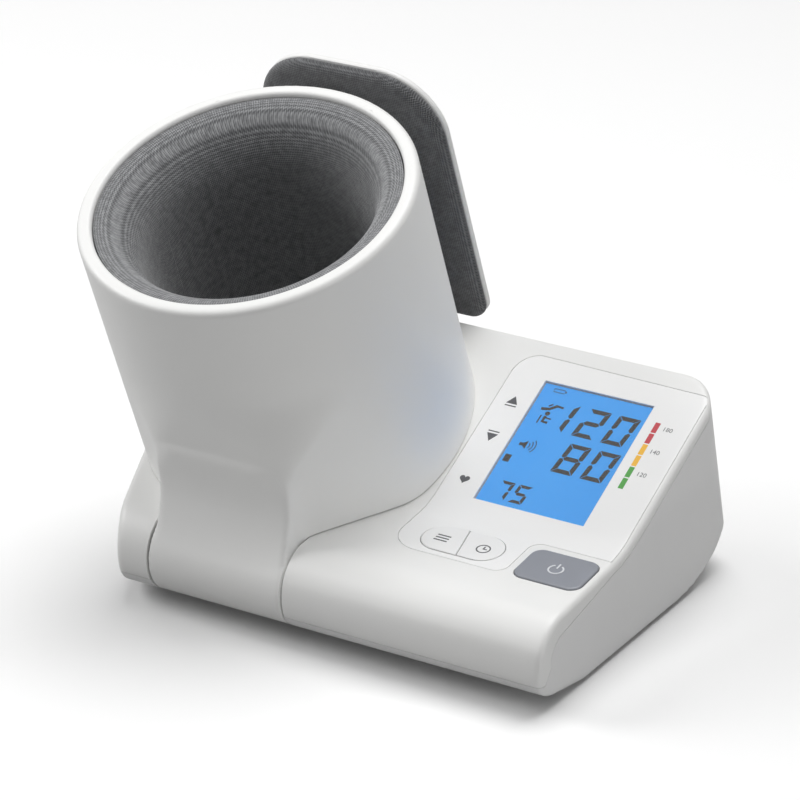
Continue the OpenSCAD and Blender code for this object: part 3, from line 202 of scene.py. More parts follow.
def prism(outline, low, high, axis="z"):
    """A flat outline pushed through from low to high. Along x, the outline is drawn in y and z."""
    o = np.array(outline, float)
    n = len(o)
    ends = [np.insert(o, 2 if axis == "z" else 0, t, axis=1) for t in (low, high)]
    sides = [(i, (i + 1) % n, n + (i + 1) % n, n + i) for i in range(n)]
    return np.concatenate(ends), [tuple(range(n))[::-1], tuple(range(n, 2 * n))] + sides


def turned(outline, sides=256, shut=True):
    """A (radius, height) outline turned round the tube's axis, closed on itself or else with filled ends."""
    o = np.array(outline, float)
    a = np.arange(sides) * 2 * math.pi / sides
    points = np.stack([np.outer(o[:, 0], np.cos(a)), np.outer(o[:, 0], np.sin(a)),
                       np.repeat(o[:, 1:], sides, 1)], 2).reshape(-1, 3)
    last = len(o) if shut else len(o) - 1
    faces = []
    for i in range(last):
        here, there = i * sides, (i + 1) % len(o) * sides
        for k in range(sides):
            ahead = (k + 1) % sides
            faces.append((here + k, here + ahead, there + ahead, there + k))
    if not shut:
        faces += [tuple(range(sides))[::-1], tuple(range((len(o) - 1) * sides, len(o) * sides))]
    return points, faces


def patch(x0, x1, y0, y1):
    """A rectangle's outline."""
    return [(x0, y0), (x1, y0), (x1, y1), (x0, y1)]


def block(x0, x1, y0, y1, z0, z1):
    return prism(patch(x0, x1, y0, y1), z0, z1)


def rod(radius, centre, low, high, sides=64):
    """A round rod along x."""
    return prism(arc(centre, radius, 0, 360 - 360 / sides, 360 / sides), low, high, "x")


def placed(part, place):
    m = np.array(place)
    return part[0] @ m[:3, :3].T + m[:3, 3], part[1]


def together(*parts):
    points, faces, start = [], [], 0
    for p, f in parts:
        points.append(p)
        faces += [tuple(int(i) + start for i in face) for face in f]
        start += len(p)
    return np.concatenate(points), faces


def solid(name, *parts):
    points, faces = together(*parts)
    mesh = bpy.data.meshes.new(name)
    mesh.from_pydata((points * 0.001).tolist(), [], faces)
    made = bpy.data.objects.new(name, mesh)
    bpy.context.scene.collection.objects.link(made)
    return made


def cut(piece, tool, how="DIFFERENCE"):
    """Takes the tool away from the piece, or keeps or joins what they share. The tool is used up."""
    knife = piece.modifiers.new("cut", "BOOLEAN")
    knife.operation, knife.solver, knife.object = how, "EXACT", tool
    graph = bpy.context.evaluated_depsgraph_get()
    shape = bpy.data.meshes.new_from_object(piece.evaluated_get(graph))
    piece.modifiers.clear()
    piece.data = shape
    bpy.data.objects.remove(tool)
    return piece


def fit_out(piece, body, finish, instead_of=(), crease=35):
    """Gives a piece its finish, crisp edges where it turns sharply, and the body it moves with."""
    piece.data.materials.clear()
    piece.data.materials.append(finish)
    piece.data.polygons.foreach_set("material_index", [0] * len(piece.data.polygons))
    piece.data.shade_smooth()
    piece.data.set_sharp_from_angle(angle=math.radians(crease))
    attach(piece, body)
    if instead_of:
        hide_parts(*instead_of)
    return piece


# ---- finishes ----
def colour(code):
    """The linear colour of an sRGB hex value."""
    parts = [int(code[i:i + 2], 16) / 255 for i in (1, 3, 5)]
    return [c / 12.92 if c <= 0.04045 else ((c + 0.055) / 1.055) ** 2.4 for c in parts] + [1.0]


def add(tree, kind, settings=(), **sockets):
    """Adds a node with its settings. An input, named or numbered as i0, takes a value or a link."""
    new = tree.nodes.new("ShaderNode" + kind)
    for name, value in dict(settings).items():
        setattr(new, name, value)
    for name, value in sockets.items():
        numbered = name[0] == "i" and name[1:].isdigit()
        socket = new.inputs[int(name[1:]) if numbered else name.replace("_", " ")]
        if isinstance(value, bpy.types.NodeSocket):
            tree.links.new(value, socket)
        else:
            socket.default_value = value
    return new


def blank(name, **sockets):
    """A material with one shader, whose inputs are given."""
    made = bpy.data.materials.new(name)
    made.use_nodes = True
    tree = made.node_tree
    tree.nodes.clear()
    shader = add(tree, "BsdfPrincipled", **sockets)
    add(tree, "OutputMaterial", Surface=shader.outputs[0])
    return made, tree, shader


def moulded(name, light, shade, roughness, grain, relief, **sockets):
    """Plastic or rubber from a mould, faintly uneven in tone and gloss. Grain and relief are in mm."""
    made, tree, shader = blank(name, **sockets)
    at = add(tree, "TexCoord").outputs["Object"]
    # Tone drifts slowly across a moulding, over a few centimetres
    drift = add(tree, "TexNoise", Vector=at, Scale=1000 / 45, Detail=2.0).outputs[0]
    tone = add(tree, "Mix", {"data_type": "RGBA"}, i0=drift, i6=colour(light), i7=colour(shade)).outputs[2]
    tree.links.new(tone, shader.inputs["Base Color"])
    # Handling leaves the gloss uneven over a few millimetres
    worn = add(tree, "TexNoise", Vector=at, Scale=1000 / 7, Detail=3.0).outputs[0]
    gloss = add(tree, "MapRange", Value=worn, From_Min=0.3, From_Max=0.7, To_Min=roughness - 0.04,
                To_Max=roughness + 0.04).outputs[0]
    tree.links.new(gloss, shader.inputs["Roughness"])
    fine = add(tree, "TexNoise", Vector=at, Scale=1000 / grain, Detail=2.0).outputs[0]
    bump = add(tree, "Bump", Strength=0.6, Distance=relief * 0.001, Height=fine).outputs[0]
    tree.links.new(bump, shader.inputs["Normal"])
    return made


def metal(name, light, shade, roughness, grain, stretch=1.0):
    """Bare or plated metal, with fine marks of the given size in mm, drawn out along x by stretch."""
    made, tree, shader = blank(name, Metallic=1.0)
    at = add(tree, "TexCoord").outputs["Object"]
    along = add(tree, "Mapping", Vector=at, Scale=(1 / stretch, 1.0, 1.0)).outputs[0]
    marks = add(tree, "TexNoise", Vector=along, Scale=1000 / grain, Detail=4.0).outputs[0]
    tone = add(tree, "Mix", {"data_type": "RGBA"}, i0=marks, i6=colour(light), i7=colour(shade)).outputs[2]
    tree.links.new(tone, shader.inputs["Base Color"])
    gloss = add(tree, "MapRange", Value=marks, To_Min=roughness - 0.06, To_Max=roughness + 0.08).outputs[0]
    tree.links.new(gloss, shader.inputs["Roughness"])
    bump = add(tree, "Bump", Strength=0.3, Distance=0.00002, Height=marks).outputs[0]
    tree.links.new(bump, shader.inputs["Normal"])
    return made


def woven(name, thread, gap, pitch, around):
    """Polyester twill: slanting ribs over crossed threads, with a pitch in mm. Around, it lines the hole. The
    thread colour darkens to the gap colour where the weave lies low, which is painted shade between the
    threads.
    """
    made, tree, shader = blank(name, Roughness=0.86, Sheen_Weight=0.35, Sheen_Roughness=0.45)
    at = add(tree, "TexCoord").outputs["Object"]
    home = add(tree, "Mapping", {"vector_type": "TEXTURE"}, Vector=at,
               Location=tuple(c * 0.001 for c in IN_TUBE.translation),
               Rotation=(math.radians(TUBE_TILT), 0, 0)).outputs[0]
    part = add(tree, "SeparateXYZ", Vector=home).outputs
    if around:
        turn = add(tree, "Math", {"operation": "ARCTAN2"}, i0=part[1], i1=part[0]).outputs[0]
        # A turn becomes a length along the cloth, at the arm hole's mean radius in metres
        mean_radius = 0.0625
        weft = add(tree, "Math", {"operation": "MULTIPLY"}, i0=turn, i1=mean_radius).outputs[0]
        flat = add(tree, "CombineXYZ", X=part[0], Y=part[1]).outputs[0]
        out = add(tree, "VectorMath", {"operation": "LENGTH"}, i0=flat).outputs["Value"]
        warp = add(tree, "Math", {"operation": "SUBTRACT"}, i0=out, i1=part[2]).outputs[0]
    else:
        weft, warp = part[0], part[2]
    wave = 2 * math.pi / (pitch * 0.001)
    threads = []
    for length in (weft, warp):
        phase = add(tree, "Math", {"operation": "MULTIPLY"}, i0=length, i1=wave).outputs[0]
        threads.append((phase, add(tree, "Math", {"operation": "SINE"}, i0=phase).outputs[0]))
    slant = add(tree, "Math", {"operation": "ADD"}, i0=threads[0][0], i1=threads[1][0]).outputs[0]
    rib = add(tree, "Math", {"operation": "MULTIPLY"}, i0=slant, i1=0.5).outputs[0]
    rib = add(tree, "Math", {"operation": "SINE"}, i0=rib).outputs[0]
    over = add(tree, "MapRange", Value=rib, From_Min=-0.5, From_Max=0.5).outputs[0]
    height = add(tree, "Mix", {"data_type": "FLOAT"}, i0=over, i2=threads[0][1], i3=threads[1][1]).outputs[0]
    height = add(tree, "MapRange", Value=height, From_Min=-1.0, From_Max=1.0).outputs[0]
    # Yarn lies unevenly over a few threads
    yarn = add(tree, "TexNoise", Vector=home, Scale=1000 / (3 * pitch), Detail=3.0).outputs[0]
    # Painted shade: the low places of the weave take the darker gap colour, made uneven by the yarn's real
    # variation
    shade_and_yarn = add(tree, "Math", {"operation": "MULTIPLY"}, i0=height, i1=yarn).outputs[0]
    shade_and_yarn = add(tree, "MapRange", Value=shade_and_yarn, From_Min=0.05, From_Max=0.6).outputs[0]
    tone = add(tree, "Mix", {"data_type": "RGBA"}, i0=shade_and_yarn, i6=colour(gap), i7=colour(thread)).outputs[2]
    tree.links.new(tone, shader.inputs["Base Color"])
    bump = add(tree, "Bump", Strength=0.7, Distance=0.00025, Height=height).outputs[0]
    tree.links.new(bump, shader.inputs["Normal"])
    return made


# White ABS, moulded with a fine spark texture: soft highlights and a barely uneven surface. The real grain is
# about 0.1 mm and is drawn at 0.5 mm, or it would not show.
white_abs = moulded("white_ABS_moulded", "#F4F4F2", "#F0F0EF", 0.42, 0.5, 0.006, IOR=1.53)
# The same ABS on the lower housing, a little greyer from its coarser mould
tray_abs = moulded("white_ABS_tray", "#EFEFEE", "#EAEAEA", 0.5, 0.6, 0.01, IOR=1.53)
# Printed polycarbonate film over the console: smoother and brighter than the shell round it
film = moulded("white_polycarbonate_film", "#F8F8F7", "#F5F5F5", 0.44, 1.2, 0.002, IOR=1.58)
# ABS key caps: smoother than the shell, so they catch the lamps a little
white_key = moulded("white_ABS_key_cap", "#F6F6F5", "#F2F2F2", 0.4, 0.8, 0.003, IOR=1.53)
grey_key = moulded("grey_ABS_key_cap", "#9699A1", "#8E9199", 0.36, 0.5, 0.006, IOR=1.53)
# Uncoloured inner mouldings: matt, straight from the mould
inner_abs = moulded("pale_ABS_inner_moulding", "#DFE0E1", "#D6D7D9", 0.55, 0.8, 0.01, IOR=1.53)
dark_abs = moulded("black_ABS_moulded", "#3B3C40", "#2F3033", 0.45, 0.6, 0.01, IOR=1.53)
# Silicone rubber: matt and slightly greasy looking, with a coarse grain
dark_rubber = moulded("black_silicone_rubber", "#333436", "#2A2B2D", 0.72, 0.9, 0.02, IOR=1.41)
grey_rubber = moulded("grey_silicone_rubber", "#9B9DA1", "#8F9195", 0.66, 0.9, 0.02, IOR=1.41)
tan_rubber = moulded("latex_air_sleeve", "#A08D74", "#8F7D66", 0.6, 1.5, 0.03, IOR=1.52)
# Translucent PVC hose: milky
hose_pvc = moulded("PVC_hose", "#D3D7DA", "#C4C9CE", 0.35, 1.0, 0.008, IOR=1.54)
# Acetal hinge bushes: waxy cream
acetal = moulded("acetal_bush", "#DCD8CC", "#D3CEC0", 0.4, 0.8, 0.006, IOR=1.48)
# Zinc-plated steel pressings and screws: dull and faintly mottled
zinc = metal("zinc_plated_steel", "#C6C9CC", "#A9ADB1", 0.36, 1.4, 4.0)
# Solder mask over glass fibre: glossy deep green with the weave just showing
mask_green = moulded("green_solder_mask", "#2F6E48", "#255A3B", 0.3, 1.1, 0.012, IOR=1.56)
# Printed sleeve of a dry cell: a thin glossy film over steel
cell_sleeve = moulded("PVC_cell_sleeve", "#C9953F", "#B9852F", 0.28, 1.6, 0.004, IOR=1.54)
# Acrylic light guide: milky from its printed dots
guide_acrylic = moulded("acrylic_light_guide", "#F2FAFE", "#E4F0F6", 0.25, 1.4, 0.01, IOR=1.49)
# Screen-printed ink and the dark liquid crystal: flat, almost without gloss
grey_ink = moulded("grey_screen_ink", "#5A5B5E", "#505154", 0.55, 0.4, 0.004, IOR=1.5)
pale_ink = moulded("pale_screen_ink", "#E4E5E8", "#DADCE0", 0.5, 0.4, 0.004, IOR=1.5)
red_ink = moulded("red_screen_ink", "#C8404B", "#BE3943", 0.45, 0.4, 0.004, IOR=1.5)
yellow_ink = moulded("yellow_screen_ink", "#FBC23E", "#F3B832", 0.45, 0.4, 0.004, IOR=1.5)
green_ink = moulded("green_screen_ink", "#4DA341", "#459A3A", 0.45, 0.4, 0.004, IOR=1.5)
crystal = moulded("dark_liquid_crystal", "#262320", "#1E1C1A", 0.5, 0.4, 0.002, Specular_IOR_Level=0.1)
border_ink = moulded("beige_display_border", "#A39A90", "#978F86", 0.5, 0.4, 0.002, IOR=1.5)
# The cuff's lining and the elbow cushion: grey polyester twill, whose threads read as a soft ribbed tone,
# with painted shade in the darker colour between them.
# They are about 0.4 mm apart and are drawn at 1 mm, or they would not show.
liner_cloth = woven("grey_polyester_twill_lining", "#A9AAAC", "#5B5C5E", 1.0, True)
pad_cloth = woven("grey_polyester_twill_pad", "#7F8082", "#3C3D3F", 1.0, False)


def lit_display():
    """The blue backlit display, whose own light evens out the shade."""
    made, tree, shader = blank("backlit_blue_display", Roughness=0.5, Specular_IOR_Level=0.05,
                               Emission_Strength=0.12)
    at = add(tree, "TexCoord").outputs["Object"]
    drift = add(tree, "TexNoise", Vector=at, Scale=1000 / 60, Detail=1.0).outputs[0]
    blues = {"i6": colour("#3CA8F8"), "i7": colour("#309FF4")}
    tone = add(tree, "Mix", {"data_type": "RGBA"}, i0=drift, **blues).outputs[2]
    tree.links.new(tone, shader.inputs["Base Color"])
    tree.links.new(tone, shader.inputs["Emission Color"])
    return made


def clear_window():
    """Hard-coated acrylic: nearly invisible but for a thin reflection."""
    made, tree, shader = blank("clear_acrylic_window", Roughness=0.06, IOR=1.49, Alpha=0.06)
    at = add(tree, "TexCoord").outputs["Object"]
    waves = add(tree, "TexNoise", Vector=at, Scale=1000 / 25, Detail=1.0).outputs[0]
    bump = add(tree, "Bump", Strength=0.2, Distance=0.00002, Height=waves).outputs[0]
    tree.links.new(bump, shader.inputs["Normal"])
    return made


blue_display, window_acrylic = lit_display(), clear_window()

# ---- the base: one hollow form, then parted along its seam ----
side_view = (arc((87.8411, 26.5), 25, -90, 15) + arc((90.1508, 102.882), 3, 15, 90 + DISPLAY_TILT, 10)
             + arc(BEND, BEND_R, 270 + DISPLAY_TILT, 270 + PLATFORM_TILT, 1.5)
             + arc((NOSE_Y, NOSE_Z), NOSE_R, 90 + PLATFORM_TILT, 260) + [(RAMP_Y, FOOT)])
top_view = ([(-100, FRONT_Y - 1), (RIGHT_X + 5, FRONT_Y - 1), (RIGHT_X + 5, REAR_Y)]
            + arc((TUBE_X, FOOT_Y), (83.5, 94.666), 90, 177) + arc((TUBE_X, FOOT_Y), 83.5, 180, 203.2))
from_side, from_top = inside_of(side_view), inside_of(top_view)


def corner_form(x, y, z):
    """The right side and its rear corner, whose round follows the leaning back down to a rounded heel."""
    lean, turn = math.radians(BACK_LEAN), math.radians(HEEL_TURN)
    side = x - RIGHT_X + CORNER_R
    back = (y - BACK_EDGE[0]) * math.cos(lean) + (z - BACK_EDGE[1]) * math.sin(lean) + CORNER_R
    out = x * math.cos(turn) + y * math.sin(turn) - HEEL_REACH + HEEL_R
    down = FOOT + HEEL_R - z
    return np.maximum(rounded_corner(side, back, CORNER_R), rounded_corner(out, down, HEEL_R))


def base_form(x, y, z):
    # The right side leans in towards the table by 3.3 degrees, below 60 mm
    lean = math.radians(3.3)
    leaning_side = (x - RIGHT_X + (61.5 - z) * math.tan(lean)) * math.cos(lean)
    right = np.maximum(corner_form(x, y, z), leaning_side)
    return meet(meet(from_side(y, z), from_top(x, y), 3.0), right, 3.0)


def base_hollow(x, y, z):
    """The room inside: a wall's thickness from the outside and from the knuckle's pocket."""
    middle, half_w = sum(KNUCKLE) / 2, (KNUCKLE[1] - KNUCKLE[0]) / 2 + POCKET_SIDE
    round_the_pins = np.hypot(y - NOSE_Y, z - NOSE_Z) - POCKET_R - WALL
    above_the_pins = np.maximum(y - POCKET_BACK - WALL, NOSE_Z - z)
    walls = np.maximum(np.abs(x - middle) - half_w - WALL, np.minimum(round_the_pins, above_the_pins))
    return np.maximum(base_form(x, y, z) + WALL, -walls)


outer = skin(base_form, (-141, -91, -3), (141, 117, 112), 1.6)
hollow = skin(base_hollow, (-141, -91, -3), (141, 117, 112), 3.0, 1)
hollow = hollow[0], hollow[1][:, ::-1]

pocket_view = ([(POCKET_BACK, 300), (-120, 300), (-120, NOSE_Z)] + arc((NOSE_Y, NOSE_Z), POCKET_R, 180, 428.8)
               + [(POCKET_BACK, NOSE_Z + 20.7)])
pocket = prism(pocket_view, KNUCKLE[0] - POCKET_SIDE, KNUCKLE[1] + POCKET_SIDE, "x")
seam_back = 96.977
seam = ([(REAR_Y + 20, seam_back), (BACK_EDGE[0] - 8, seam_back)]
        + arc(BEND, BEND_R + 5.5, 270 + DISPLAY_TILT, 270 + PLATFORM_TILT)
        + arc((NOSE_Y, NOSE_Z), NOSE_R - 11, 90 + PLATFORM_TILT, 200, 6)
        + [(FRONT_Y + 7, 16.9), (FRONT_Y - 20, 16.9)])
above = prism(seam + [(FRONT_Y - 20, 200), (REAR_Y + 20, 200)], -160, 160, "x")
lowered = [(y + SEAM_GAP * 0.5, z - SEAM_GAP) for y, z in seam]
below = prism((lowered + [(FRONT_Y - 20, -20), (REAR_Y + 20, -20)])[::-1], -160, 160, "x")


def panel_view(depth):
    """The console film's outline from above, with its step beside the start key."""
    slope_run, top, low, mid = math.cos(math.radians(DISPLAY_TILT)), 80.6162, -48.5106, -17.8253
    left, right, step_at, step = 30.6, 134.9, 93.75, 6.5
    rear_left = arc((left + 12, top - 12 * slope_run), 12, 90, 180)
    front_left = arc((left + 15, low + 15), 15, 180, 270)
    stepped = arc((step_at - step, low + step), step, 270, 360, 6)
    stepped += arc((step_at + step, mid - step), step, 180, 90, 6)
    return moved_in([(right, mid), (right, top)] + rear_left + front_left + stepped, depth)


def film_layer(spread, depth):
    """The layer under the base's top face that the film takes, within its outline."""
    layer = solid("film_layer", prism(panel_view(-spread), NOSE_Z, 200))
    cut(layer, solid("under", prism(moved_in(side_view, depth), -160, 160, "x")))
    lean = math.radians(BACK_LEAN)
    back = BACK_EDGE[0] * math.cos(lean) + BACK_EDGE[1] * math.sin(lean)
    corner = arc((RIGHT_X - CORNER_R, back - CORNER_R), CORNER_R, 0, 90, 2)
    edge = moved_in([(-160, -160), (RIGHT_X, -160)] + corner + [(-160, back)], FILM_MARGIN - spread)
    return cut(layer, solid("edge", placed(prism(edge, -60, 300), tilted(0, 0, 0, BACK_LEAN))), "INTERSECT")


def rounded_outline(half_w, half_d, radius):
    """A rounded rectangle's outline, or a pill's where the radius is half its depth."""
    r = radius - 0.01
    corners = [(half_w - r, half_d - r, 0), (r - half_w, half_d - r, 90), (r - half_w, r - half_d, 180),
               (half_w - r, r - half_d, 270)]
    return [p for cx, cy, a in corners for p in arc((cx, cy), r, a, a + 90, 9)]


def openings():
    """The holes for the display's window, the start key and the key pair."""
    w, h, gap = SCREEN_W / 2 + 0.1, SCREEN_H / 2 + 0.1, 0.4
    start = rounded_outline(START_W / 2 + gap, START_D / 2 + gap, 6 + gap)
    pair = rounded_outline(PAIR_W / 2 + gap, PAIR_D / 2 + gap, PAIR_D / 2 + gap)
    return (placed(block(-w, w, -h, h, -14, 6), ON_SLOPE),
            placed(prism(start, -9, 9), on_platform(START_X, START_BACK)),
            placed(prism(pair, -9, 9), on_platform(PAIR_X, PAIR_BACK)))


shell = cut(solid("base_shell", outer, hollow), solid("pocket", pocket))
cover = shell.copy()
cover.data = shell.data.copy()
cover.name = "base_cover"
bpy.context.scene.collection.objects.link(cover)
cut(cover, solid("above_seam", above), "INTERSECT")
cut(cover, film_layer(0.3, 0.9))
cut(cover, solid("openings", *openings()))
fit_out(cover, "base", white_abs, ["upper_cover"])

panel = cut(solid("console_film", outer), film_layer(0.0, 0.8), "INTERSECT")
cut(panel, solid("openings", *openings()))
fit_out(panel, "base", film, ["display_panel"])

tray = shell
tray.name = "base_tray"
cut(tray, solid("below_seam", below), "INTERSECT")
screws = [(-112, 44.17), (-92, 86.17), (8, 88.17), (118.5, 88.17), (125.5, -60.83), (14, -50.83)]
feet = [(-116, 4.17), (-88, 72.17), (111.5, 66.17), (119.5, -31.06), (-14, -31.06)]


def underside_lift(x, y):
    """How far the ramp under the nose and the rounded heel lift the underside at a screw's head."""
    ramp = max(0.0, (RAMP_Y - y) * math.tan(math.radians(10)))
    turn = math.radians(HEEL_TURN)
    out = x * math.cos(turn) + y * math.sin(turn) + 2.8 - HEEL_REACH + HEEL_R
    return ramp + HEEL_R - math.sqrt(HEEL_R ** 2 - max(0.0, out) ** 2)


door_hole = block(DOOR_X - 30.3, DOOR_X + 30.3, DOOR_Y - 28.1, DOOR_Y + 28.1, -2, 8)
screw_holes = [prism(arc(at, 3.2, 0, 350, 10), -3, underside_lift(*at) + FOOT + 2.1) for at in screws]
foot_beds = [prism(arc(at, 7.2, 0, 350, 10), -3, FOOT + 0.8) for at in feet]
sound_slots = [block(20 + i * 4 - 0.8, 20 + i * 4 + 0.8, 52.17, 68.17, -2, 6) for i in range(-2, 3)]
to_the_back = Matrix.Translation((77.5, 109.17, 43.5)) @ Matrix.Rotation(math.radians(-90), 4, "X")
socket_hole = placed(prism(arc((0, 0), 4.5, 0, 355, 5), -30, 8), to_the_back)
cut(tray, solid("bottom_cuts", door_hole, *screw_holes, *foot_beds, *sound_slots, socket_hole))
cut(tray, solid("peg_holes", rod(1.0, (3.875, 3.0), DOOR_X - 32.1, DOOR_X + 32.1, 32)))
fit_out(tray, "base", tray_abs, ["lower_housing"])

# The two lugs that carry the elbow rest's pin
rest_pin = (103.48, 98.549)
lug_side = inside_of([(100.36, 102.71), (90.5, 95.98), (90.5, 74.5), (105.48, 80.55), (108.68, 98.549)])


def lugs_form(x, y, z):
    side = flow(lug_side(y, z), np.hypot(y - rest_pin[0], z - rest_pin[1]) - 5.2, 1.0)
    return meet(side, np.abs(np.abs(x - TUBE_X) - 26.9) - 4.5, 0.9)


lugs = solid("rest_lugs", skin(lugs_form, (-88, 86, 70), (-20, 112, 108), 0.8))
fit_out(lugs, "base", tray_abs, ["lower_housing"])

# ---- the arm tube ----
# Its foot widens into the knuckle: a round section stretched to two posts, which die away up the tube
bearing = np.radians(np.arange(0, 360, 0.5))
facing = np.radians(np.arange(0, 360, 0.25))
posts = np.array([(-24.5, -81.5), (44.7, -81.5)])
reach = np.maximum(0, (posts[:, :1] * np.cos(facing) + posts[:, 1:] * np.sin(facing)).max(0) + 3 - TUBE_R)
lean = np.cos(facing[None, :] - bearing[:, None])
stretch = np.array([np.where(lean > 0.05, (TUBE_R + s * reach) / np.maximum(lean, 0.05), 1e9).min(1)
                    for s in np.linspace(0, 1, 33)])
neck_side = inside_of([NOSE_IN_TUBE, (-106.298, -138.922)] + arc((-144.5, -92.656), 60, -50.45, 0)
                      + [(-60, -92.656), (-60, -151.577)])
neck_front = inside_of([(-28.9, -177.2), (49.1, -177.2), (49.1, -104.66), (34.1, -91.66), (-17.9, -91.66),
                        (-28.9, -104.66)])


def tube_radius(x, y, z):
    """The radius of the tube's outside, read between the worked-out bearings and stages of its widening."""
    fade = np.clip((-58 - z) / 46.7, 0, 1)
    s = 32 * fade * fade * (3 - 2 * fade)
    a = (np.degrees(np.arctan2(y, x)) % 360) / 0.5
    s, a = np.broadcast_arrays(s, a)
    i, k = np.minimum(s.astype(int), 31), a.astype(int) % 720
    fs, fa, n = s - i, a - a.astype(int), (k + 1) % 720
    return ((1 - fs) * ((1 - fa) * stretch[i, k] + fa * stretch[i, n])
            + fs * ((1 - fa) * stretch[i + 1, k] + fa * stretch[i + 1, n]))


def tube_form(x, y, z):
    body = np.hypot(x, y) - tube_radius(x, y, z)
    across = np.abs(x - NECK_X) - NECK_HALF_W
    neck = meet(meet(neck_side(y, z), across, 1.4), neck_front(x, z), 5.0)
    knuckle = meet(np.hypot(y - NOSE_IN_TUBE[0], z - NOSE_IN_TUBE[1]) - NOSE_R, across, 1.4)
    form = np.minimum(flow(body, neck, 7.0), knuckle)
    return np.maximum(meet(form, z + 0 * x, 3.0), -167.0 - z)


tube_skin = skin(tube_form, (-87, -118, -184), (87, 87, 4), 1.6)
tube = solid("arm_tube_shell", placed(tube_skin, IN_TUBE))
bore = turned([(BORE_R, -200), (BORE_R, -6), (75.6, -6), (75.6, -2)] + arc((77.6, -2), 2, 174, 90, 12)
              + [(77.6, 6)], shut=False)
cut(tube, solid("bore", placed(bore, IN_TUBE)))
# The base keeps the tube clear of it by half a millimetre, but for the knuckle in its pocket
under = solid("under_the_tube", prism(moved_in(side_view, -0.5), -170, 170, "x"))
knuckle_room = block(KNUCKLE[0] - 0.3, KNUCKLE[1] + 0.3, -130, POCKET_BACK - 0.5, -40, 200)
cut(under, solid("knuckle_room", knuckle_room))
cut(tube, under)
behind = prism([(84.09, 0), (152, 0), (152, 138.6), (84.09, 103.9)], -165, 165, "x")
cut(tube, solid("behind_the_tube", behind))
core = rod(NOSE_R - 0.1, (NOSE_Y, NOSE_Z), KNUCKLE[0] + 0.8, KNUCKLE[1] - 0.8, 128)
cut(tube, solid("knuckle_core", core), "UNION")
fit_out(tube, "tube", white_abs, ["arm_tube"])

# ---- the cuff's lining: a funnel of cloth into the arm hole, turned under at its lower end ----
throat, mouth, lower = 56.5, (75.0, -32.0), -130.9
hem, fine_turn = (throat + 10, lower + 10), 2.5
inner_side = arc(mouth, (18.5, 29.5), 90, 180, fine_turn)
inner_side += [(throat, z) for z in np.linspace(-40, lower + 14, 22)] + arc(hem, 10, 180, 270, 9)
outer_side = arc(hem, 8, 270, 180, 9) + [(throat + 2, z) for z in np.linspace(lower + 14, -40, 8)]
outer_side += arc(mouth, (16.5, 27.5), 180, 90, 6)
points, faces = turned(inner_side + outer_side, 240)
around, up = np.arctan2(points[:, 1], points[:, 0]), points[:, 2]
# The cloth is taped to the air sleeve behind it, so it is full by a few tenths of a millimetre between tapes
fullness = 0.35 * np.sin(around * 9 + 0.6 * np.sin(up / 19)) * np.exp(-((up + 80) / 42) ** 2)
shrink = 1 - fullness / np.hypot(points[:, 0], points[:, 1])
points[:, :2] *= shrink[:, None]
liner = solid("cuff_lining", placed((points, [f[::-1] for f in faces]), IN_TUBE))
fit_out(liner, "tube", liner_cloth, ["cuff_liner"], 60)

# ---- the elbow rest ----
foot_x, foot_z = REST_W / 2 - REST_FOOT_R, REST_Z + REST_FOOT_R
top_x, top_z = REST_W / 2 - REST_TOP_R, REST_Z + REST_L - REST_TOP_R
rest_view = (arc((foot_x, foot_z), REST_FOOT_R, -90, 0, 6) + arc((top_x, top_z), REST_TOP_R, 0, 90)
             + arc((-top_x, top_z), REST_TOP_R, 90, 180) + arc((-foot_x, foot_z), REST_FOOT_R, 180, 270, 6))
rest_outline = inside_of(rest_view)


def cushion_form(x, y, z):
    edge = rest_outline(x, z)
    # Foam crowns towards the middle and pulls in at its sewn edge, with a little unevenness of hand
    crown = 1.5 * (1 - np.exp(np.minimum(edge, 0) / 16))
    hand = 0.12 * np.sin(x / 13 + 0.7) * np.sin(z / 17 - 0.4) * np.clip(-edge / 10, 0, 1)
    front, back = (REST_Y + 1.6 - crown - hand) - y, y - (REST_Y + CUSHION_T)
    return meet(np.maximum(meet(edge, front, 4.2), edge), back, 0.9)


cushion_skin = skin(cushion_form, (-60, REST_Y - 4, REST_Z - 4), (60, REST_Y + 12, REST_Z + REST_L + 4),
                    1.3)
cushion = solid("elbow_cushion", placed(cushion_skin, IN_TUBE))
fit_out(cushion, "elbow_rest", pad_cloth, ["elbow_cushion"], 70)

shell_y = REST_Y + CUSHION_T + 0.2
shell_back = shell_y + REST_SHELL_T - 0.5
bracket = inside_of([(92, -156.891), (shell_back, REST_Z), (shell_back, -141.891), (shell_y, -141.891),
                     (shell_y, -146.391), (90, -147.891)])


def rest_form(x, y, z):
    plate = meet(rest_outline(x, z), np.abs(y - shell_y - REST_SHELL_T / 2) - REST_SHELL_T / 2, 1.7)
    barrel = np.minimum(bracket(y, z), np.hypot(y - REST_AXIS[0], z - REST_AXIS[1]) - 5.2)
    return flow(plate, meet(barrel, np.abs(x) - 22, 0.8), 1.2)


rest_skin = skin(rest_form, (-60, 82, -162), (60, 104, 10), 1.1)
rest_shell = solid("elbow_rest_back", placed(rest_skin, IN_TUBE))
cut(rest_shell, solid("pin_hole", rod(2.1, rest_pin, TUBE_X - 40, TUBE_X + 40, 48)))
fit_out(rest_shell, "elbow_rest", white_abs, ["elbow_rest_shell"])


# ---- keys ----
def key_cap(name, form, place, low, high, body, finish, node):
    cap = solid(name, placed(skin(form, low, high, 0.5), place))
    return fit_out(cap, body, finish, [node], 50)


def start_form(x, y, z):
    # The cap is dished by a fifth of a millimetre for the fingertip
    dish = 0.2 * np.exp(-((x / 11) ** 2 + (y / 8) ** 2))
    return meet(meet(rounded_plate(x, y, START_W / 2, START_D / 2, 6), z - 0.9 + dish, 0.8), -3.6 - z, 0.3)


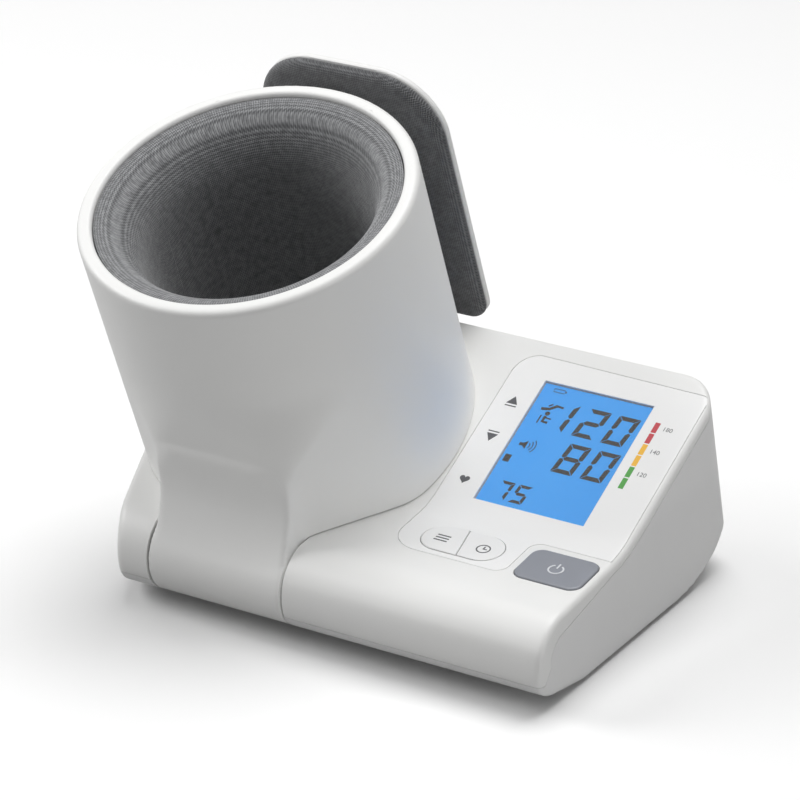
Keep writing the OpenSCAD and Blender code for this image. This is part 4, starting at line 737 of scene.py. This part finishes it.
def pair_form(side):
    """One key of the pair: its half of a pill that is parted on a slant."""
    slant = math.radians(PAIR_SLANT)

    def form(x, y, z):
        pill = rounded_plate(x, y, PAIR_W / 2, PAIR_D / 2, PAIR_D / 2 - 0.01)
        parting = 0.22 - side * (x * math.cos(slant) + y * math.sin(slant))
        return meet(meet(meet(pill, parting, 0.4), z - 0.45, 0.45), -3.6 - z, 0.3)
    return form


key_cap("start_key_cap", start_form, on_platform(START_X, START_BACK), (-19, -15, -5), (19, 15, 2.5),
        "start_key_body", grey_key, "start_key")
for name, side in (("memory_key", -1), ("set_key", 1)):
    key_cap(name + "_cap", pair_form(side), on_platform(PAIR_X, PAIR_BACK), (-23, -12.5, -5),
            (23, 12.5, 2.5), name + "_body", white_key, name)


# ---- printed marks and the display's own figures ----
def stroke(line, width):
    """A line of the given width as an outline."""
    p = np.array(line, float)
    ahead = np.gradient(p, axis=0)
    ahead /= np.linalg.norm(ahead, axis=1)[:, None]
    side = np.stack([-ahead[:, 1], ahead[:, 0]], 1) * width / 2
    return np.concatenate([p - side, (p + side)[::-1]])


def heart(x, y, size):
    """A plain heart, by its usual curve."""
    outline = []
    for t in np.linspace(0, 2 * math.pi, 40)[:-1]:
        up = 13 * math.cos(t) - 5 * math.cos(2 * t) - 2 * math.cos(3 * t) - math.cos(4 * t)
        outline.append((x + size * 16 * math.sin(t) ** 3, y + size * up))
    return outline


def figure(digit, x, y, width, height, bar, slant=0.125):
    """The bars of a seven-bar figure with mitred corners, which leans to the right."""
    lit = {"0": "abcdef", "1": "bc", "2": "abged", "5": "afgcd", "7": "abc", "8": "abcdefg"}[digit]
    w, h, m, t, g = width, height, height / 2, bar, 0.22
    top = [(g, h), (w - g, h), (w - t - g, h - t), (t + g, h - t)]
    left = [(0, h - g), (t, h - t - g), (t, m + t / 2 + g), (t / 2, m + g), (0, m + t / 4 + g)]
    middle = [(t / 2 + g, m), (t + g, m + t / 2), (w - t - g, m + t / 2), (w - t / 2 - g, m),
              (w - t - g, m - t / 2), (t + g, m - t / 2)]
    under = [[(u, h - v) for u, v in shape] for shape in (top, left)]
    shapes = {"a": top, "d": under[0], "f": left, "e": under[1], "g": middle,
              "b": [(w - u, v) for u, v in left], "c": [(w - u, v) for u, v in under[1]]}
    return [[(x + u + slant * v, y + v) for u, v in shapes[s]] for s in lit]


def facing_up(outline):
    """The outline, counter-clockwise."""
    o = np.array(outline, float)
    turn = (o[:, 0] * np.roll(o[:, 1], -1) - np.roll(o[:, 0], -1) * o[:, 1]).sum()
    return o if turn > 0 else o[::-1]


def marks(name, outlines, place, low, high, finish, body="base", extra=()):
    """Printed marks as thin layers of ink, which ride on the given body."""
    made = solid(name, *[placed(prism(facing_up(o), low, high), place) for o in outlines], *extra)
    return fit_out(made, body, finish, crease=20)


def numerals(text, x, y, height, place, low, high):
    """Plain upright numerals, centred on x and y."""
    curve = bpy.data.curves.new("numerals", "FONT")
    curve.body, curve.size, curve.align_x, curve.align_y = text, height / 0.7, "CENTER", "CENTER"
    curve.extrude, curve.resolution_u = (high - low) / 2, 4
    holder = bpy.data.objects.new("numerals", curve)
    bpy.context.scene.collection.objects.link(holder)
    mesh = bpy.data.meshes.new_from_object(holder.evaluated_get(bpy.context.evaluated_depsgraph_get()))
    points = np.array([v.co[:] for v in mesh.vertices]) + (x, y, (low + high) / 2)
    faces = [tuple(p.vertices) for p in mesh.polygons]
    bpy.data.objects.remove(holder)
    return placed((points, faces), place)


bars = []
for digit, x in (("1", -19.5), ("2", -2.4), ("0", 13.7)):
    bars += figure(digit, x, 11.4, 11.6, 18.4, 2.5)
for digit, x in (("8", -2.0), ("0", 14.1)):
    bars += figure(digit, x, -12.2, 11.6, 18.8, 2.5)
for digit, x in (("7", -23.3), ("5", -13.6)):
    bars += figure(digit, x, -35.6, 7.4, 11.4, 1.7)
# A battery cell, and the level bar beside the reading
signs = [stroke([(-23.6, 36.6), (-17.6, 36.6), (-17.6, 34.6), (-23.6, 34.6), (-23.6, 36.7)], 0.35),
         patch(-17.4, -16.7, 35.1, 36.1), patch(-28.2, -24.8, -13.0, -8.4)]
# A bent arm with its cuff, and a seated person: the usual plain signs for how to sit
signs += [stroke([(-24.6, 22.9), (-20.4, 23.6), (-17.0, 26.6)], 1.7),
          stroke([(-17.6, 26.4), (-13.6, 26.0)], 1.2), stroke([(-21.6, 25.2), (-19.8, 26.9)], 0.8)]
signs += [arc((-19.9, 20.7), 1.3, 0, 345, 15), stroke([(-20.2, 19.0), (-20.4, 15.4), (-17.4, 15.2)], 1.5),
          stroke([(-20.0, 18.0), (-16.6, 17.8)], 0.8), stroke([(-22.6, 19.0), (-22.6, 13.8)], 0.7)]
# A loudspeaker with its sound
signs.append([(-24.8, -1.5), (-22.9, -1.5), (-20.8, -3.2), (-20.8, 2.0), (-22.9, 0.3), (-24.8, 0.3)])
signs += [stroke(arc((-21.6, -0.6), radius, -42, 42, 12), 0.45) for radius in (2.4, 4.0, 5.6)]
marks("display_figures", bars + signs, ON_SLOPE, *ON_GLASS, crystal)
w, h, line = SCREEN_W / 2 - 0.15, SCREEN_H / 2 - 0.15, 0.35
border = [patch(-w, w, h - line, h), patch(-w, w, -h, line - h),
          patch(-w, line - w, 0.4 - h, h - 0.4), patch(w - line, w, 0.4 - h, h - 0.4)]
marks("display_border", border, ON_SLOPE, *ON_GLASS, border_ink)

steps = [30.4, 23.2, 16.2, 8.8, 1.4, -5.9, -13.3]
for tint, ink, first in (("red", red_ink, 0), ("yellow", yellow_ink, 2), ("green", green_ink, 4)):
    fields = [patch(35.6, 38.3, steps[i + 1] + 0.35, steps[i] - 0.35) for i in (first, first + 1)]
    marks("scale_" + tint, fields, ON_SLOPE, *ON_SHELL, ink)
scale_numbers = [("180", 27.0), ("140", 12.4), ("120", -2.3)]
figures = [numerals(text, 43.3, y, 2.5, ON_SLOPE, *ON_SHELL) for text, y in scale_numbers]
arrows = [[(-43.0, 20.6), (-36.8, 20.6), (-39.9, 25.6)], patch(-43.0, -36.8, 18.9, 19.6),
          [(-43.2, 0.6), (-40.1, -4.4), (-37.0, 0.6)], patch(-43.2, -37.0, 1.6, 2.3)]
marks("console_marks", arrows + [heart(-40.2, -29.7, 0.17)], ON_SLOPE, *ON_SHELL, grey_ink, extra=figures)
lines = [patch(-14.6, -7.4, v, v + 0.9) for v in (-3.2, -1.0, 1.2)]
marks("memory_key_mark", lines, on_platform(PAIR_X, PAIR_BACK), 0.4, 0.49, grey_ink, "memory_key_body")
clock = [stroke(arc((11.6, -0.8), 3.3, 0, 358, 8), 0.7), stroke([(11.6, -1.2), (11.6, 1.4)], 0.7),
         stroke([(11.3, -0.9), (13.5, -0.9)], 0.7)]
marks("set_key_mark", clock, on_platform(PAIR_X, PAIR_BACK), 0.4, 0.49, grey_ink, "set_key_body")
power = [stroke(arc((0, -0.6), 3.6, 120, 420, 8), 0.8), stroke([(0, 0.2), (0, 4.3)], 0.8)]
marks("start_key_mark", power, on_platform(START_X, START_BACK), 0.55, 0.93, pale_ink, "start_key_body")

# ---- finishes of the pieces that keep their construction's own shape ----
kept = {
    blue_display: ["lcd_cell"],
    window_acrylic: ["display_window"],
    guide_acrylic: ["light_guide"],
    tray_abs: ["battery_door"],
    inner_abs: ["lcd_frame", "cuff_drum", "end_ring", "air_block"],
    dark_abs: ["air_pump_head", "battery_box", "power_socket", "pressure_sensor", "loudspeaker"],
    mask_green: ["main_board", "key_board"],
    zinc: ["board_screws", "housing_screws", "end_ring_screws", "hinge_brackets", "hinge_stub_left",
           "hinge_stub_right", "friction_washers", "air_pump_motor", "release_valve", "battery_springs",
           "battery_plates", "elbow_rest_pin", "elbow_rest_clips"],
    cell_sleeve: ["battery_cells"],
    grey_rubber: ["key_mat", "pump_saddle"],
    dark_rubber: ["rubber_feet"],
    hose_pvc: ["pump_hose", "valve_hose", "sensor_hose", "supply_hose", "cuff_hose"],
    acetal: ["hinge_bushes"],
    tan_rubber: ["air_sleeve"],
}
for finish, names in kept.items():
    for name in names:
        mesh = nodes[name].data
        mesh.materials.clear()
        mesh.materials.append(finish)

# ---- the table, the lamps and the camera ----
def stage_material():
    """A matt sweep, plain white to the camera and a pale grey to bounced light. It keeps the shadow."""
    made, tree, shader = blank("white_paper_sweep", Roughness=0.95)
    seen = add(tree, "LightPath").outputs["Is Camera Ray"]
    greys = {"i6": colour("#B4B4B4"), "i7": colour("#FFFFFF")}
    tone = add(tree, "Mix", {"data_type": "RGBA"}, i0=seen, **greys).outputs[2]
    tree.links.new(tone, shader.inputs["Base Color"])
    at = add(tree, "TexCoord").outputs["Object"]
    fibre = add(tree, "TexNoise", Vector=at, Scale=1000 / 3, Detail=2.0).outputs[0]
    bump = add(tree, "Bump", Strength=0.1, Distance=0.00005, Height=fibre).outputs[0]
    tree.links.new(bump, shader.inputs["Normal"])
    return made


def sweep():
    """The table, rising behind the object in one curve."""
    run = [(-4.0, 0.0), (3.0, 0.0)] + arc((3.0, 1.5), 1.5, -90, 0, 6) + [(4.5, 5.0)]
    points = [(x, y, z) for y, z in run for x in (-6.0, 6.0)]
    faces = [(2 * i, 2 * i + 1, 2 * i + 3, 2 * i + 2) for i in range(len(run) - 1)]
    mesh = bpy.data.meshes.new("paper_sweep")
    mesh.from_pydata(points, [], faces)
    mesh.shade_smooth()
    mesh.materials.append(stage_material())
    floor = bpy.data.objects.new("paper_sweep", mesh)
    bpy.context.scene.collection.objects.link(floor)


def lamp(name, at, towards, width, power):
    """A square softbox at one place, turned towards another."""
    light = bpy.data.lights.new(name, "AREA")
    light.shape, light.size, light.energy = "SQUARE", width, power
    holder = bpy.data.objects.new(name, light)
    bpy.context.scene.collection.objects.link(holder)
    holder.location = at
    holder.rotation_euler = (Vector(towards) - Vector(at)).to_track_quat("-Z", "Y").to_euler()


def lights():
    """A white room that lights little but shows white, and three softboxes."""
    world = bpy.data.worlds.new("white_room")
    world.use_nodes = True
    tree = world.node_tree
    tree.nodes.clear()
    path = add(tree, "LightPath").outputs
    seen = path["Is Camera Ray"]
    for ray in ("Is Glossy Ray", "Is Transmission Ray"):
        seen = add(tree, "Math", {"operation": "MAXIMUM"}, i0=seen, i1=path[ray]).outputs[0]
    strength = add(tree, "MapRange", Value=seen, To_Min=0.16, To_Max=1.0).outputs[0]
    sky = add(tree, "Background", Color=(1, 1, 1, 1), Strength=strength)
    add(tree, "OutputWorld", Surface=sky.outputs[0])
    bpy.context.scene.world = world
    lamp("key_softbox", (-2.4, -0.9, 1.9), (-0.02, 0, 0.1), 1.6, 44)
    lamp("overhead_softbox", (0.2, 0.4, 2.6), (0, 0, 0.1), 1.8, 50)
    lamp("low_softbox", (2.4, -0.7, 0.3), (0.1, 0, 0.04), 1.0, 10)


def camera():
    """The camera as solved from the photograph: its focal length is 3790 of the picture's 800 pixels."""
    data = bpy.data.cameras.new("camera")
    data.lens, data.sensor_width, data.sensor_fit = 3790 / 800 * 36, 36, "HORIZONTAL"
    data.clip_start, data.clip_end = 0.05, 30
    holder = bpy.data.objects.new("camera", data)
    bpy.context.scene.collection.objects.link(holder)
    azimuth, elevation = math.radians(31.352), math.radians(23.749)
    level = math.cos(elevation)
    back = Vector((math.sin(azimuth) * level, -math.cos(azimuth) * level, math.sin(elevation)))
    holder.rotation_euler = back.to_track_quat("Z", "Y").to_euler()
    holder.location = (0.8790, -1.4289, 0.8377)
    bpy.context.scene.camera = holder


sweep()
lights()
camera()
bpy.context.scene.view_settings.view_transform = "Standard"
